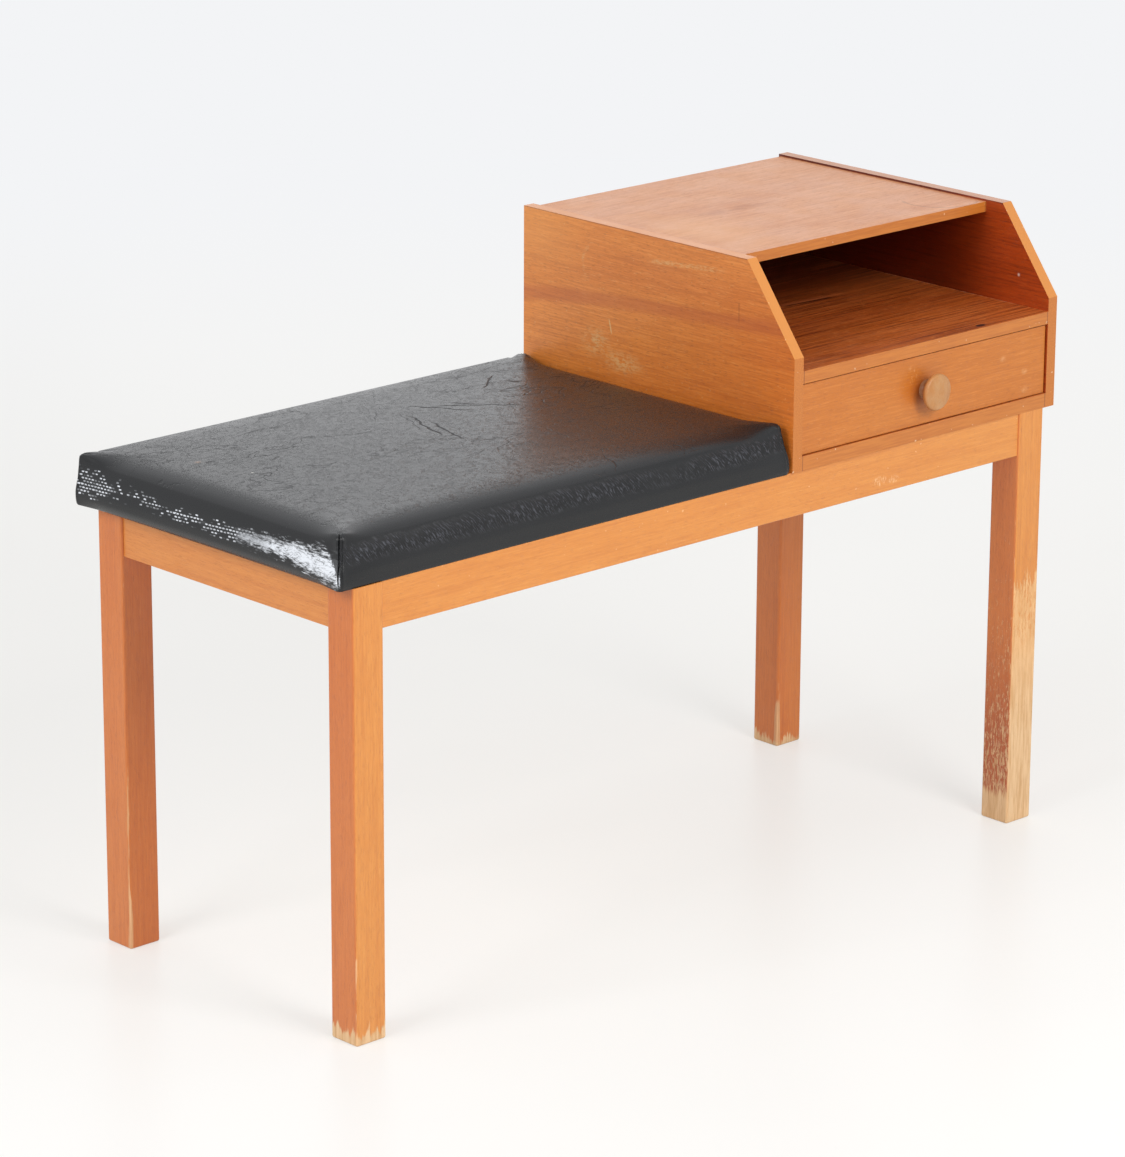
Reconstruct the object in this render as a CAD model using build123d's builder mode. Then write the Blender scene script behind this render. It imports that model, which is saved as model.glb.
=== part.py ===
from build123d import *
import os

os.makedirs("parts", exist_ok=True)

# Telephone bench: a beech leg frame, a padded seat at the left (-X) and a veneered
# cabinet with an open shelf and one drawer at the right (+X). Front is -Y, up is +Z.
# All sizes are in millimetres.

# Leg frame
frame_length = 870  # over the outer faces of the legs
frame_depth = 347
rail_top = 414  # above the floor
leg_size = 34
leg_edge_round = 2.5
foot_round = 2
rail_height = 42
rail_thickness = 20
front_rail_setback = 2
end_rail_setback = 2.5
rail_edge_round = 1
cross_rail_width = 60
cross_rail_height = 22
block_reach = 50  # of a corner block along each rail
block_height = 20
block_notch_gap = 1
block_screw_reach = 20  # from the rails' inner corner, along both rails

# Dowels of the leg frame
frame_dowel_diameter = 8
frame_dowel_length = 30
frame_dowel_spacing = 18
dowel_stagger = 9  # between the dowel heights of a long rail and of an end rail
cross_dowel_spacing = 30
cross_dowel_in_rail = 12
dowel_clearance = 0.1

# Seat
seat_overhang = 16  # past the left legs
seat_gap = 1.5  # to the cabinet
seat_board_thickness = 12
foam_thickness = 32  # at the crown
cover_thickness = 1
cover_turn_in = 8  # under the board, past the inner faces of the rails
seat_crown = 4
seat_draw_in = 2.5
seat_corner_radius = 14
seat_shoulder_radius = 11
seat_heel_radius = 5
soft_gap = 0.5  # between the foam and its cover
staple_width = 10
staple_wire = 1
staple_leg = 7
staple_pitch = 45
staple_inset = 3.5  # from the inner faces of the rails
staple_clearance = 0.05

# Cabinet
cabinet_length = 357
cabinet_depth = 360
cabinet_height = 189
side_thickness = 12
side_offset = 2  # from the right legs to the right side panel
slope_run = 62
slope_drop = 82
top_thickness = 10
top_drop = 2  # of the top below the upper edges of the side panels
top_setback = 83
shelf_thickness = 12
shelf_level = 94  # upper face of the shelf above the rails
bottom_thickness = 14
back_thickness = 3
back_top_drop = 4  # of the back below the upper face of the top
cabinet_dowel_diameter = 6
cabinet_dowel_length = 24
cabinet_dowel_in_side = 8
cabinet_dowel_margin = 28
cabinet_dowels_per_joint = 3

# Drawer
drawer_gap = 1.5  # above the drawer front and at its ends
drawer_lower_gap = 0.8  # under the drawer front
drawer_setback = 2  # of the drawer front behind the front edges of the cabinet
drawer_front_thickness = 16
drawer_side_thickness = 13
drawer_side_height = 54
drawer_side_lift = 2  # of the sides above the lower edge of the front
drawer_back_thickness = 10
drawer_back_drop = 3  # of the back below the upper edge of the sides
drawer_bottom_thickness = 4
drawer_bottom_lift = 7  # above the lower edge of the sides
drawer_bottom_groove = 5
groove_clearance = 0.2
runner_height = 10
runner_width = 8
runner_level = 30  # centre of the runner above the cabinet bottom
runner_length = 300
runner_clearance = 0.3
runner_overrun = 2  # of the drawer sides past the runners
drawer_length = drawer_front_thickness + runner_length + runner_overrun
drawer_dowel_diameter = 6
drawer_dowel_length = 24
drawer_dowel_in_front = 9

# Knob
knob_diameter = 35
knob_reach = 18  # in front of the drawer front
knob_neck_diameter = 15
knob_base_diameter = 19
knob_rim_thickness = 5.5
knob_dome = 1.5
knob_drop = 0.5  # below the middle of the drawer front
knob_screw_depth = 11  # in the knob

# Screws and pins
screw_diameter = 4
screw_head_diameter = 8
screw_length = 30
small_screw_diameter = 3
small_screw_head_diameter = 6
small_screw_length = 16
screw_clearance = 0.1
pin_diameter = 1.4
pin_head_diameter = 2.6
pin_head_thickness = 0.6
pin_length = 15
drawer_pin_length = 28
pin_margin = 20
pins_per_board = 4
bottom_pin_count = 3
runner_screw_count = 3

# Places worked out from the sizes above
overall_length = seat_overhang + frame_length + side_offset + side_thickness
overall_depth = knob_reach - drawer_setback + cabinet_depth
frame_left = seat_overhang - overall_length / 2
frame_right = frame_left + frame_length
front = knob_reach - drawer_setback - overall_depth / 2
drawer_face = front + drawer_setback
frame_back = front + frame_depth
cabinet_back_face = front + cabinet_depth
cabinet_right = overall_length / 2
cabinet_left = cabinet_right - cabinet_length
inside_left = cabinet_left + side_thickness
inside_right = cabinet_right - side_thickness
cabinet_top_edge = rail_top + cabinet_height
bottom_face = rail_top + bottom_thickness
shelf_face = rail_top + shelf_level
shelf_underside = shelf_face - shelf_thickness
top_face = cabinet_top_edge - top_drop
back_front_face = cabinet_back_face - back_thickness

rail_front_face = front + front_rail_setback
rail_front_inner = rail_front_face + rail_thickness
rail_back_face = frame_back - front_rail_setback
rail_back_inner = rail_back_face - rail_thickness
rail_left_face = frame_left + end_rail_setback
rail_left_inner = rail_left_face + rail_thickness
rail_right_face = frame_right - end_rail_setback
rail_right_inner = rail_right_face - rail_thickness
rail_middle_height = rail_top - rail_height / 2
cross_rail_left = cabinet_left - cross_rail_width / 2
cross_rail_right = cabinet_left + cross_rail_width / 2

seat_left = frame_left - seat_overhang
seat_right = cabinet_left - seat_gap
seat_front = front
seat_back = cabinet_back_face
seat_board_base = rail_top + cover_thickness
foam_base = seat_board_base + seat_board_thickness
seat_top = foam_base + foam_thickness + soft_gap + cover_thickness


def finish_piece(piece, name):
    piece.part.label = name
    export_step(piece.part, f"parts/{name}.step")


def spread(low, high, count):
    step = (high - low) / (count - 1)
    return [low + step * index for index in range(count)]


def drill(planes, radius, depth):
    """Blind holes that run backwards from each plane."""
    with Locations(*planes):
        Hole(radius, depth)


def dowel_holes(planes, diameter, depth):
    drill(planes, diameter / 2 + dowel_clearance, depth + dowel_clearance)


def turned(planes):
    """The same places, seen from the other piece of the joint."""
    return [Plane(origin=p.origin, x_dir=p.x_dir, z_dir=-p.z_dir) for p in planes]


# ---- Joints of the leg frame ----

def joint_planes(x, y, direction, across, spacing, height):
    planes = []
    for side in (-spacing / 2, spacing / 2):
        origin = Vector(x, y, height) + Vector(*across) * side
        planes.append(Plane(origin=origin, z_dir=direction))
    return planes


long_rail_y = {
    "front": rail_front_face + rail_thickness / 2,
    "back": rail_back_face - rail_thickness / 2,
}
end_rail_x = {
    "left": rail_left_face + rail_thickness / 2,
    "right": rail_right_face - rail_thickness / 2,
}
leg_inner_x = {"left": frame_left + leg_size, "right": frame_right - leg_size}
leg_inner_y = {"front": front + leg_size, "back": frame_back - leg_size}
inwards = {"left": 1, "right": -1, "front": 1, "back": -1}
UP = (0, 0, 1)
long_joint_height = rail_middle_height - dowel_stagger / 2
end_joint_height = rail_middle_height + dowel_stagger / 2


def long_joint(side, face):
    """Where the front or back rail meets a left or right leg, pointing into the rail."""
    return joint_planes(
        leg_inner_x[side], long_rail_y[face], (inwards[side], 0, 0), UP,
        frame_dowel_spacing, long_joint_height,
    )


def end_joint(side, face):
    """Where an end rail meets a front or back leg, pointing into the rail."""
    return joint_planes(
        end_rail_x[side], leg_inner_y[face], (0, inwards[face], 0), UP,
        frame_dowel_spacing, end_joint_height,
    )


def cross_joint(face):
    """Where the cross rail meets the front or back rail, pointing into the cross rail."""
    inner = {"front": rail_front_inner, "back": rail_back_inner}[face]
    return joint_planes(
        cabinet_left, inner, (0, inwards[face], 0), (1, 0, 0),
        cross_dowel_spacing, rail_top - cross_rail_height / 2,
    )


# ---- Screws and pins ----

def wood_screw(diameter, head_diameter, length):
    """Countersunk screw, head face at the origin, pointing along -Z."""
    with BuildPart() as screw:
        with BuildSketch(Plane.XZ):
            with BuildLine():
                radius, head = diameter / 2, head_diameter / 2
                Polyline(
                    (0, 0), (head, 0), (radius, radius - head),
                    (radius, diameter - length), (0, -length), (0, 0),
                )
            make_face()
        revolve(axis=Axis.Z)
    return screw.part


def panel_pin(length):
    """Flat-headed pin, head face at the origin, pointing along -Z."""
    with BuildPart() as pin:
        with BuildSketch(Plane.XZ):
            with BuildLine():
                shank, head = pin_diameter / 2, pin_head_diameter / 2
                Polyline(
                    (0, 0), (head, 0), (head, -pin_head_thickness),
                    (shank, -pin_head_thickness), (shank, pin_diameter - length),
                    (0, -length), (0, 0),
                )
            make_face()
        revolve(axis=Axis.Z)
    return pin.part


def screw_hole(planes, diameter, head_diameter):
    """Countersunk clearance holes, right through the piece."""
    with Locations(*planes):
        CounterSinkHole(
            diameter / 2 + screw_clearance, head_diameter / 2 + screw_clearance,
            counter_sink_angle=90,
        )


def shifted(planes, distance):
    return [p.offset(distance) for p in planes]


frame_screw = wood_screw(screw_diameter, screw_head_diameter, screw_length)
runner_screw = wood_screw(small_screw_diameter, small_screw_head_diameter, small_screw_length)
knob_screw_length = drawer_front_thickness + knob_screw_depth
knob_fixing = wood_screw(screw_diameter, screw_head_diameter, knob_screw_length)
board_pin = panel_pin(pin_length)
drawer_pin = panel_pin(drawer_pin_length)

# Frame screws are driven upwards through the corner blocks and the cross rail.
block_screw_x = {
    "left": rail_left_inner + block_screw_reach,
    "right": rail_right_inner - block_screw_reach,
}
block_screw_y = {
    "front": rail_front_inner + block_screw_reach,
    "back": rail_back_inner - block_screw_reach,
}
block_underside = rail_top - block_height
cross_underside = rail_top - cross_rail_height
DOWN = (0, 0, -1)


def block_screw(side, face):
    origin = (block_screw_x[side], block_screw_y[face], block_underside)
    return Plane(origin=origin, z_dir=DOWN)


def cross_screws(x):
    return [
        Plane(origin=(x, block_screw_y[face], cross_underside), z_dir=DOWN)
        for face in ("front", "back")
    ]


seat_cross_screw_x = (cross_rail_left + seat_right) / 2
cabinet_cross_screw_x = (inside_left + cross_rail_right) / 2
seat_screw_planes = [block_screw("left", face) for face in ("front", "back")]
seat_screw_planes += cross_screws(seat_cross_screw_x)
cabinet_screw_planes = [block_screw("right", face) for face in ("front", "back")]
cabinet_screw_planes += cross_screws(cabinet_cross_screw_x)


def pilot_holes(planes, diameter, length):
    drill(planes, diameter / 2 + screw_clearance, length + screw_clearance)


# ---- Legs ----

for side, x_outer in (("left", frame_left), ("right", frame_right)):
    for face, y_outer in (("front", front), ("back", frame_back)):
        x_middle = x_outer + inwards[side] * leg_size / 2
        y_middle = y_outer + inwards[face] * leg_size / 2
        with BuildPart() as leg:
            with BuildSketch():
                with Locations((x_middle, y_middle)):
                    Rectangle(leg_size, leg_size)
            extrude(amount=rail_top)
            fillet(leg.edges().filter_by(Axis.Z), leg_edge_round)
            fillet(leg.faces().sort_by(Axis.Z)[0].edges(), foot_round)
            holes = long_joint(side, face) + end_joint(side, face)
            dowel_holes(holes, frame_dowel_diameter, frame_dowel_length / 2)
        finish_piece(leg, f"leg_{face}_{side}")

# ---- Rails ----

for face in ("front", "back"):
    with BuildPart() as long_rail:
        with BuildSketch(Plane.XY.offset(rail_top - rail_height)):
            with Locations(((frame_left + frame_right) / 2, long_rail_y[face])):
                Rectangle(frame_length - 2 * leg_size, rail_thickness)
        extrude(amount=rail_height)
        fillet(long_rail.faces().sort_by(Axis.Z)[0].edges().filter_by(Axis.X), rail_edge_round)
        holes = turned(long_joint("left", face) + long_joint("right", face))
        dowel_holes(holes, frame_dowel_diameter, frame_dowel_length / 2)
        dowel_holes(cross_joint(face), frame_dowel_diameter, cross_dowel_in_rail)
    finish_piece(long_rail, f"{face}_rail")

for side in ("left", "right"):
    with BuildPart() as end_rail:
        with BuildSketch(Plane.XY.offset(rail_top - rail_height)):
            with Locations((end_rail_x[side], (front + frame_back) / 2)):
                Rectangle(rail_thickness, frame_depth - 2 * leg_size)
        extrude(amount=rail_height)
        fillet(end_rail.faces().sort_by(Axis.Z)[0].edges().filter_by(Axis.Y), rail_edge_round)
        holes = turned(end_joint(side, "front") + end_joint(side, "back"))
        dowel_holes(holes, frame_dowel_diameter, frame_dowel_length / 2)
    finish_piece(end_rail, f"{side}_end_rail")

# Flat rail across the frame, under the meeting line of the seat and the cabinet
with BuildPart() as cross_rail:
    with BuildSketch(Plane.XY.offset(cross_underside)):
        with Locations((cabinet_left, (rail_front_inner + rail_back_inner) / 2)):
            Rectangle(cross_rail_width, rail_back_inner - rail_front_inner)
    extrude(amount=cross_rail_height)
    holes = turned(cross_joint("front") + cross_joint("back"))
    dowel_holes(holes, frame_dowel_diameter, frame_dowel_length - cross_dowel_in_rail)
    screw_hole(cross_screws(seat_cross_screw_x), screw_diameter, screw_head_diameter)
    screw_hole(cross_screws(cabinet_cross_screw_x), screw_diameter, screw_head_diameter)
finish_piece(cross_rail, "cross_rail")

with BuildPart() as rail_dowels:
    joints = []
    for side in ("left", "right"):
        for face in ("front", "back"):
            joints += long_joint(side, face) + end_joint(side, face)
    cross_shift = frame_dowel_length / 2 - cross_dowel_in_rail
    joints += shifted(cross_joint("front") + cross_joint("back"), cross_shift)
    with Locations(*joints):
        Cylinder(frame_dowel_diameter / 2, frame_dowel_length)
finish_piece(rail_dowels, "rail_dowels")

# ---- Corner blocks, glued into the corners and notched around the legs ----

notch_x = leg_size - end_rail_setback - rail_thickness + block_notch_gap
notch_y = leg_size - front_rail_setback - rail_thickness + block_notch_gap
for side, x_corner in (("left", rail_left_inner), ("right", rail_right_inner)):
    for face, y_corner in (("front", rail_front_inner), ("back", rail_back_inner)):
        corner = Vector(x_corner, y_corner)
        along_x = Vector(inwards[side], 0)
        along_y = Vector(0, inwards[face])
        outline = [
            corner + along_x * notch_x,
            corner + along_x * block_reach,
            corner + along_y * block_reach,
            corner + along_y * notch_y,
            corner + along_x * notch_x + along_y * notch_y,
        ]
        with BuildPart() as block:
            with BuildSketch(Plane.XY.offset(block_underside)):
                with BuildLine():
                    Polyline(*outline, close=True)
                make_face()
            extrude(amount=block_height)
            screw_hole([block_screw(side, face)], screw_diameter, screw_head_diameter)
        finish_piece(block, f"corner_block_{face}_{side}")

# ---- Seat ----

def crown_cap(inset, base, top):
    """Block with the crowned top, wider than the seat to the front and back."""
    left, right = seat_left + inset, seat_right - inset
    middle_x, middle_y = (left + right) / 2, (seat_front + seat_back) / 2
    reach = (seat_back - seat_front) / 2 - inset + seat_corner_radius
    with BuildPart() as cap:
        for x, rise in ((left, 0), (middle_x, seat_crown / 2), (right, 0)):
            shoulder = top - seat_crown + rise - seat_crown / 2
            with BuildSketch(Plane(origin=(x, middle_y, 0), x_dir=(0, 1, 0), z_dir=(1, 0, 0))):
                with BuildLine():
                    ThreePointArc(
                        (-reach, shoulder), (0, shoulder + seat_crown), (reach, shoulder)
                    )
                    Polyline((reach, shoulder), (reach, base), (-reach, base), (-reach, shoulder))
                make_face()
        loft()
    return cap.part


def padded_form(inset, base, top, heel_radius):
    """Seat outline with drawn-in sides and a crowned top, smaller all round by inset."""
    left, right = seat_left + inset, seat_right - inset
    near, far = seat_front + inset, seat_back - inset
    middle_x, middle_y = (left + right) / 2, (near + far) / 2
    cap = crown_cap(inset, base, top)
    with BuildPart() as form:
        with BuildSketch(Plane.XY.offset(base)) as plan:
            with BuildLine():
                ThreePointArc((left, near), (middle_x, near + seat_draw_in), (right, near))
                ThreePointArc((right, near), (right - seat_draw_in, middle_y), (right, far))
                ThreePointArc((right, far), (middle_x, far - seat_draw_in), (left, far))
                ThreePointArc((left, far), (left + seat_draw_in, middle_y), (left, near))
            make_face()
            fillet(plan.vertices(), seat_corner_radius - inset)
        extrude(amount=top - base)
        add(cap, mode=Mode.INTERSECT)
        fillet(form.faces().sort_by(Axis.Z)[-1].edges(), seat_shoulder_radius - inset)
        if heel_radius:
            fillet(form.faces().sort_by(Axis.Z)[0].edges(), heel_radius)
    return form.part


def staple(clearance):
    """Staple with its crown under the board, at the origin, pointing up."""
    with BuildPart() as wire:
        thickness = staple_wire + 2 * clearance
        width = staple_width + 2 * clearance
        with Locations((0, 0, -staple_wire)):
            Box(width, thickness, staple_wire, align=(Align.CENTER, Align.CENTER, Align.MIN))
        leg_place = (staple_width - staple_wire) / 2
        with Locations((-leg_place, 0), (leg_place, 0)):
            Box(
                thickness, thickness, staple_leg + clearance,
                align=(Align.CENTER, Align.CENTER, Align.MIN),
            )
    return wire.part


def staple_places():
    """Staples in lines along the inner faces of the rails, between the corner blocks."""
    inset = staple_inset
    left, right = rail_left_inner + inset, cross_rail_left - inset
    near, far = rail_front_inner + inset, rail_back_inner - inset
    clear = block_reach + staple_width
    low_x, high_x = rail_left_inner + clear, cross_rail_left - staple_width * 2
    low_y, high_y = rail_front_inner + clear, rail_back_inner - clear
    places = []
    for x in spread(low_x, high_x, int((high_x - low_x) // staple_pitch) + 1):
        places += [Location((x, near, rail_top)), Location((x, far, rail_top))]
    for y in spread(low_y, high_y, int((high_y - low_y) // staple_pitch) + 1):
        places += [Location((x, y, rail_top), (0, 0, 90)) for x in (left, right)]
    return places


board_inset = cover_thickness + soft_gap + seat_draw_in
staple_hole = staple(staple_clearance)
staple_wire_form = staple(0)

with BuildPart() as seat_board:
    with BuildSketch(Plane.XY.offset(seat_board_base)) as board_plan:
        with Locations(((seat_left + seat_right) / 2, (seat_front + seat_back) / 2)):
            width = seat_right - seat_left - 2 * board_inset
            Rectangle(width, seat_back - seat_front - 2 * board_inset)
        fillet(board_plan.vertices(), seat_corner_radius)
    extrude(amount=seat_board_thickness)
    fillet(seat_board.faces().sort_by(Axis.Z)[0].edges(), seat_heel_radius - cover_thickness)
    pilot_holes(seat_screw_planes, screw_diameter, screw_length)
    with Locations(*staple_places()):
        add(staple_hole, mode=Mode.SUBTRACT)
finish_piece(seat_board, "seat_board")

foam_inset = cover_thickness + soft_gap
foam_form = padded_form(foam_inset, foam_base, seat_top - foam_inset, 0)
with BuildPart() as seat_foam:
    add(foam_form)
finish_piece(seat_foam, "seat_foam")

inner_heel = seat_heel_radius - cover_thickness
inner_top = seat_top - cover_thickness
cover_outside = padded_form(0, rail_top, seat_top, seat_heel_radius)
cover_inside = padded_form(cover_thickness, seat_board_base, inner_top, inner_heel)
with BuildPart() as seat_cover:
    add(cover_outside)
    add(cover_inside, mode=Mode.SUBTRACT)
    window_left = rail_left_inner + cover_turn_in
    window_right = cross_rail_left - cover_turn_in
    window_near = rail_front_inner + cover_turn_in
    window_far = rail_back_inner - cover_turn_in
    with BuildSketch(Plane.XY.offset(rail_top)):
        with Locations(((window_left + window_right) / 2, (window_near + window_far) / 2)):
            Rectangle(window_right - window_left, window_far - window_near)
    extrude(amount=cover_thickness, mode=Mode.SUBTRACT)
    pilot_holes(seat_screw_planes, screw_diameter, screw_length)
    with Locations(*staple_places()):
        add(staple_hole, mode=Mode.SUBTRACT)
finish_piece(seat_cover, "seat_cover")

with BuildPart() as seat_staples:
    with Locations(*staple_places()):
        add(staple_wire_form)
finish_piece(seat_staples, "seat_staples")

with BuildPart() as seat_screws:
    with Locations(*seat_screw_planes):
        add(frame_screw)
finish_piece(seat_screws, "seat_screws")

# ---- Joints of the cabinet ----

board_heights = {
    "top": top_face - top_thickness / 2,
    "shelf": shelf_face - shelf_thickness / 2,
    "bottom": rail_top + bottom_thickness / 2,
}
board_fronts = {"top": front + top_setback, "shelf": front, "bottom": front}


def board_joint(board, side):
    """Where a board meets a side panel, pointing into the board."""
    x = {"left": inside_left, "right": inside_right}[side]
    low = board_fronts[board] + cabinet_dowel_margin
    high = back_front_face - cabinet_dowel_margin
    return [
        Plane(origin=(x, y, board_heights[board]), z_dir=(inwards[side], 0, 0))
        for y in spread(low, high, cabinet_dowels_per_joint)
    ]


runner_height_middle = bottom_face + runner_level
runner_front = drawer_face + drawer_front_thickness + runner_clearance
runner_middle = runner_front + runner_length / 2


def runner_screws_at(side):
    """Screws through a runner into its side panel, head planes on the runner."""
    x = {"left": inside_left + runner_width, "right": inside_right - runner_width}[side]
    low, high = runner_front + pin_margin, runner_front + runner_length - pin_margin
    return [
        Plane(origin=(x, y, runner_height_middle), z_dir=(inwards[side], 0, 0))
        for y in spread(low, high, runner_screw_count)
    ]


# ---- Side panels ----

for side, x in (("left", cabinet_left), ("right", inside_right)):
    with BuildPart() as side_panel:
        with BuildSketch(Plane.YZ.offset(x)):
            with BuildLine():
                Polyline(
                    (front, rail_top),
                    (cabinet_back_face, rail_top),
                    (cabinet_back_face, cabinet_top_edge),
                    (front + slope_run, cabinet_top_edge),
                    (front, cabinet_top_edge - slope_drop),
                    close=True,
                )
            make_face()
        extrude(amount=side_thickness)
        for board in board_heights:
            planes = board_joint(board, side)
            dowel_holes(planes, cabinet_dowel_diameter, cabinet_dowel_in_side)
        pilot_holes(runner_screws_at(side), small_screw_diameter, small_screw_length)
    finish_piece(side_panel, f"{side}_side_panel")

# ---- Boards between the side panels ----

board_inside_depth = cabinet_dowel_length - cabinet_dowel_in_side
board_thicknesses = {
    "top": top_thickness,
    "shelf": shelf_thickness,
    "bottom": bottom_thickness,
}


def pin_planes(board):
    """Panel pins through the back into the rear edge of a board, heads to the rear."""
    low, high = inside_left + pin_margin, inside_right - pin_margin
    return [
        Plane(origin=(x, cabinet_back_face, board_heights[board]), z_dir=(0, 1, 0))
        for x in spread(low, high, pins_per_board)
    ]


for board, thickness in board_thicknesses.items():
    depth = back_front_face - board_fronts[board]
    with BuildPart() as panel:
        with BuildSketch(Plane.XY.offset(board_heights[board] - thickness / 2)):
            with Locations(((inside_left + inside_right) / 2, back_front_face - depth / 2)):
                Rectangle(inside_right - inside_left, depth)
        extrude(amount=thickness)
        planes = turned(board_joint(board, "left") + board_joint(board, "right"))
        dowel_holes(planes, cabinet_dowel_diameter, board_inside_depth)
        drill(pin_planes(board), pin_diameter / 2 + screw_clearance, pin_length + screw_clearance)
        if board == "bottom":
            pilot_holes(cabinet_screw_planes, screw_diameter, screw_length)
    finish_piece(panel, f"cabinet_{board}")

all_pins = [plane for board in board_heights for plane in pin_planes(board)]
back_height = top_face - back_top_drop - rail_top
with BuildPart() as cabinet_back:
    with BuildSketch(Plane.XY.offset(rail_top)):
        middle_y = cabinet_back_face - back_thickness / 2
        with Locations(((inside_left + inside_right) / 2, middle_y)):
            Rectangle(inside_right - inside_left, back_thickness)
    extrude(amount=back_height)
    with Locations(*all_pins):
        CounterBoreHole(
            pin_diameter / 2 + screw_clearance, pin_head_diameter / 2 + screw_clearance,
            pin_head_thickness + screw_clearance, back_thickness,
        )
finish_piece(cabinet_back, "cabinet_back")

with BuildPart() as back_pins:
    with Locations(*all_pins):
        add(board_pin)
finish_piece(back_pins, "back_pins")

with BuildPart() as cabinet_dowels:
    shift = cabinet_dowel_length / 2 - cabinet_dowel_in_side
    joints = []
    for board in board_heights:
        for side in ("left", "right"):
            joints += shifted(board_joint(board, side), shift)
    with Locations(*joints):
        Cylinder(cabinet_dowel_diameter / 2, cabinet_dowel_length)
finish_piece(cabinet_dowels, "cabinet_dowels")

with BuildPart() as cabinet_screws:
    with Locations(*cabinet_screw_planes):
        add(frame_screw)
finish_piece(cabinet_screws, "cabinet_screws")

# ---- Drawer runners, screwed to the side panels ----

for side, x in (("left", inside_left), ("right", inside_right - runner_width)):
    with BuildPart() as runner:
        with BuildSketch(Plane.XY.offset(runner_height_middle - runner_height / 2)):
            with Locations((x + runner_width / 2, runner_middle)):
                Rectangle(runner_width, runner_length)
        extrude(amount=runner_height)
        screw_hole(runner_screws_at(side), small_screw_diameter, small_screw_head_diameter)
    finish_piece(runner, f"drawer_runner_{side}")

with BuildPart() as runner_screws:
    with Locations(*runner_screws_at("left"), *runner_screws_at("right")):
        add(runner_screw)
finish_piece(runner_screws, "runner_screws")

# ---- Drawer ----

front_left = inside_left + drawer_gap
front_right = inside_right - drawer_gap
front_base = bottom_face + drawer_lower_gap
front_top = shelf_underside - drawer_gap
front_rear_face = drawer_face + drawer_front_thickness
drawer_middle = (front_left + front_right) / 2
side_base = front_base + drawer_side_lift
side_top = side_base + drawer_side_height
drawer_rear = drawer_face + drawer_length
bottom_base = side_base + drawer_bottom_lift
bottom_upper = bottom_base + drawer_bottom_thickness
back_rear_face = drawer_rear - drawer_back_thickness / 2
back_near_face = back_rear_face - drawer_back_thickness
side_inner = {
    "left": front_left + drawer_side_thickness,
    "right": front_right - drawer_side_thickness,
}
side_outer = {"left": front_left, "right": front_right}
bottom_slot = drawer_bottom_thickness + 2 * groove_clearance
bottom_slot_base = bottom_base - groove_clearance
bottom_edge_gap = 2 * groove_clearance
runner_slot_depth = runner_width - drawer_gap + 2 * runner_clearance
runner_slot_height = runner_height + 2 * runner_clearance
runner_slot_base = runner_height_middle - runner_slot_height / 2


def drawer_joint(side):
    """Where a drawer side meets the front, pointing into the side."""
    x = (side_outer[side] + side_inner[side]) / 2
    lower = (bottom_slot_base + bottom_slot + runner_slot_base) / 2
    upper = (runner_slot_base + runner_slot_height + side_top) / 2
    return [Plane(origin=(x, front_rear_face, z), z_dir=(0, 1, 0)) for z in (lower, upper)]


def back_joint(side):
    """Pins through a drawer side into the end of the drawer back, heads outside."""
    low = bottom_upper + pin_head_diameter * 2
    high = side_top - drawer_back_drop - pin_head_diameter * 2
    y = (back_near_face + back_rear_face) / 2
    return [
        Plane(origin=(side_outer[side], y, z), z_dir=(-inwards[side], 0, 0))
        for z in (low, high)
    ]


def pin_bore(planes, depth):
    with Locations(*planes):
        CounterBoreHole(
            pin_diameter / 2 + screw_clearance, pin_head_diameter / 2 + screw_clearance,
            pin_head_thickness + screw_clearance, depth,
        )


knob_height = (front_base + front_top) / 2 - knob_drop
knob_screw_plane = Plane(origin=(drawer_middle, front_rear_face, knob_height), z_dir=(0, 1, 0))
bottom_pin_planes = [
    Plane(origin=(x, (back_near_face + back_rear_face) / 2, bottom_base), z_dir=DOWN)
    for x in spread(
        side_inner["left"] + pin_margin, side_inner["right"] - pin_margin, bottom_pin_count
    )
]

with BuildPart() as drawer_front:
    with BuildSketch(Plane.XY.offset(front_base)):
        with Locations((drawer_middle, (drawer_face + front_rear_face) / 2)):
            Rectangle(front_right - front_left, drawer_front_thickness)
    extrude(amount=front_top - front_base)
    dowel_holes(
        drawer_joint("left") + drawer_joint("right"), drawer_dowel_diameter,
        drawer_dowel_in_front,
    )
    with BuildSketch(Plane.XY.offset(bottom_slot_base)):
        with Locations((drawer_middle, front_rear_face - drawer_bottom_groove / 2)):
            Rectangle(side_inner["right"] - side_inner["left"] + 2 * drawer_bottom_groove,
                      drawer_bottom_groove)
    extrude(amount=bottom_slot, mode=Mode.SUBTRACT)
    screw_hole([knob_screw_plane], screw_diameter, screw_head_diameter)
finish_piece(drawer_front, "drawer_front")

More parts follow.
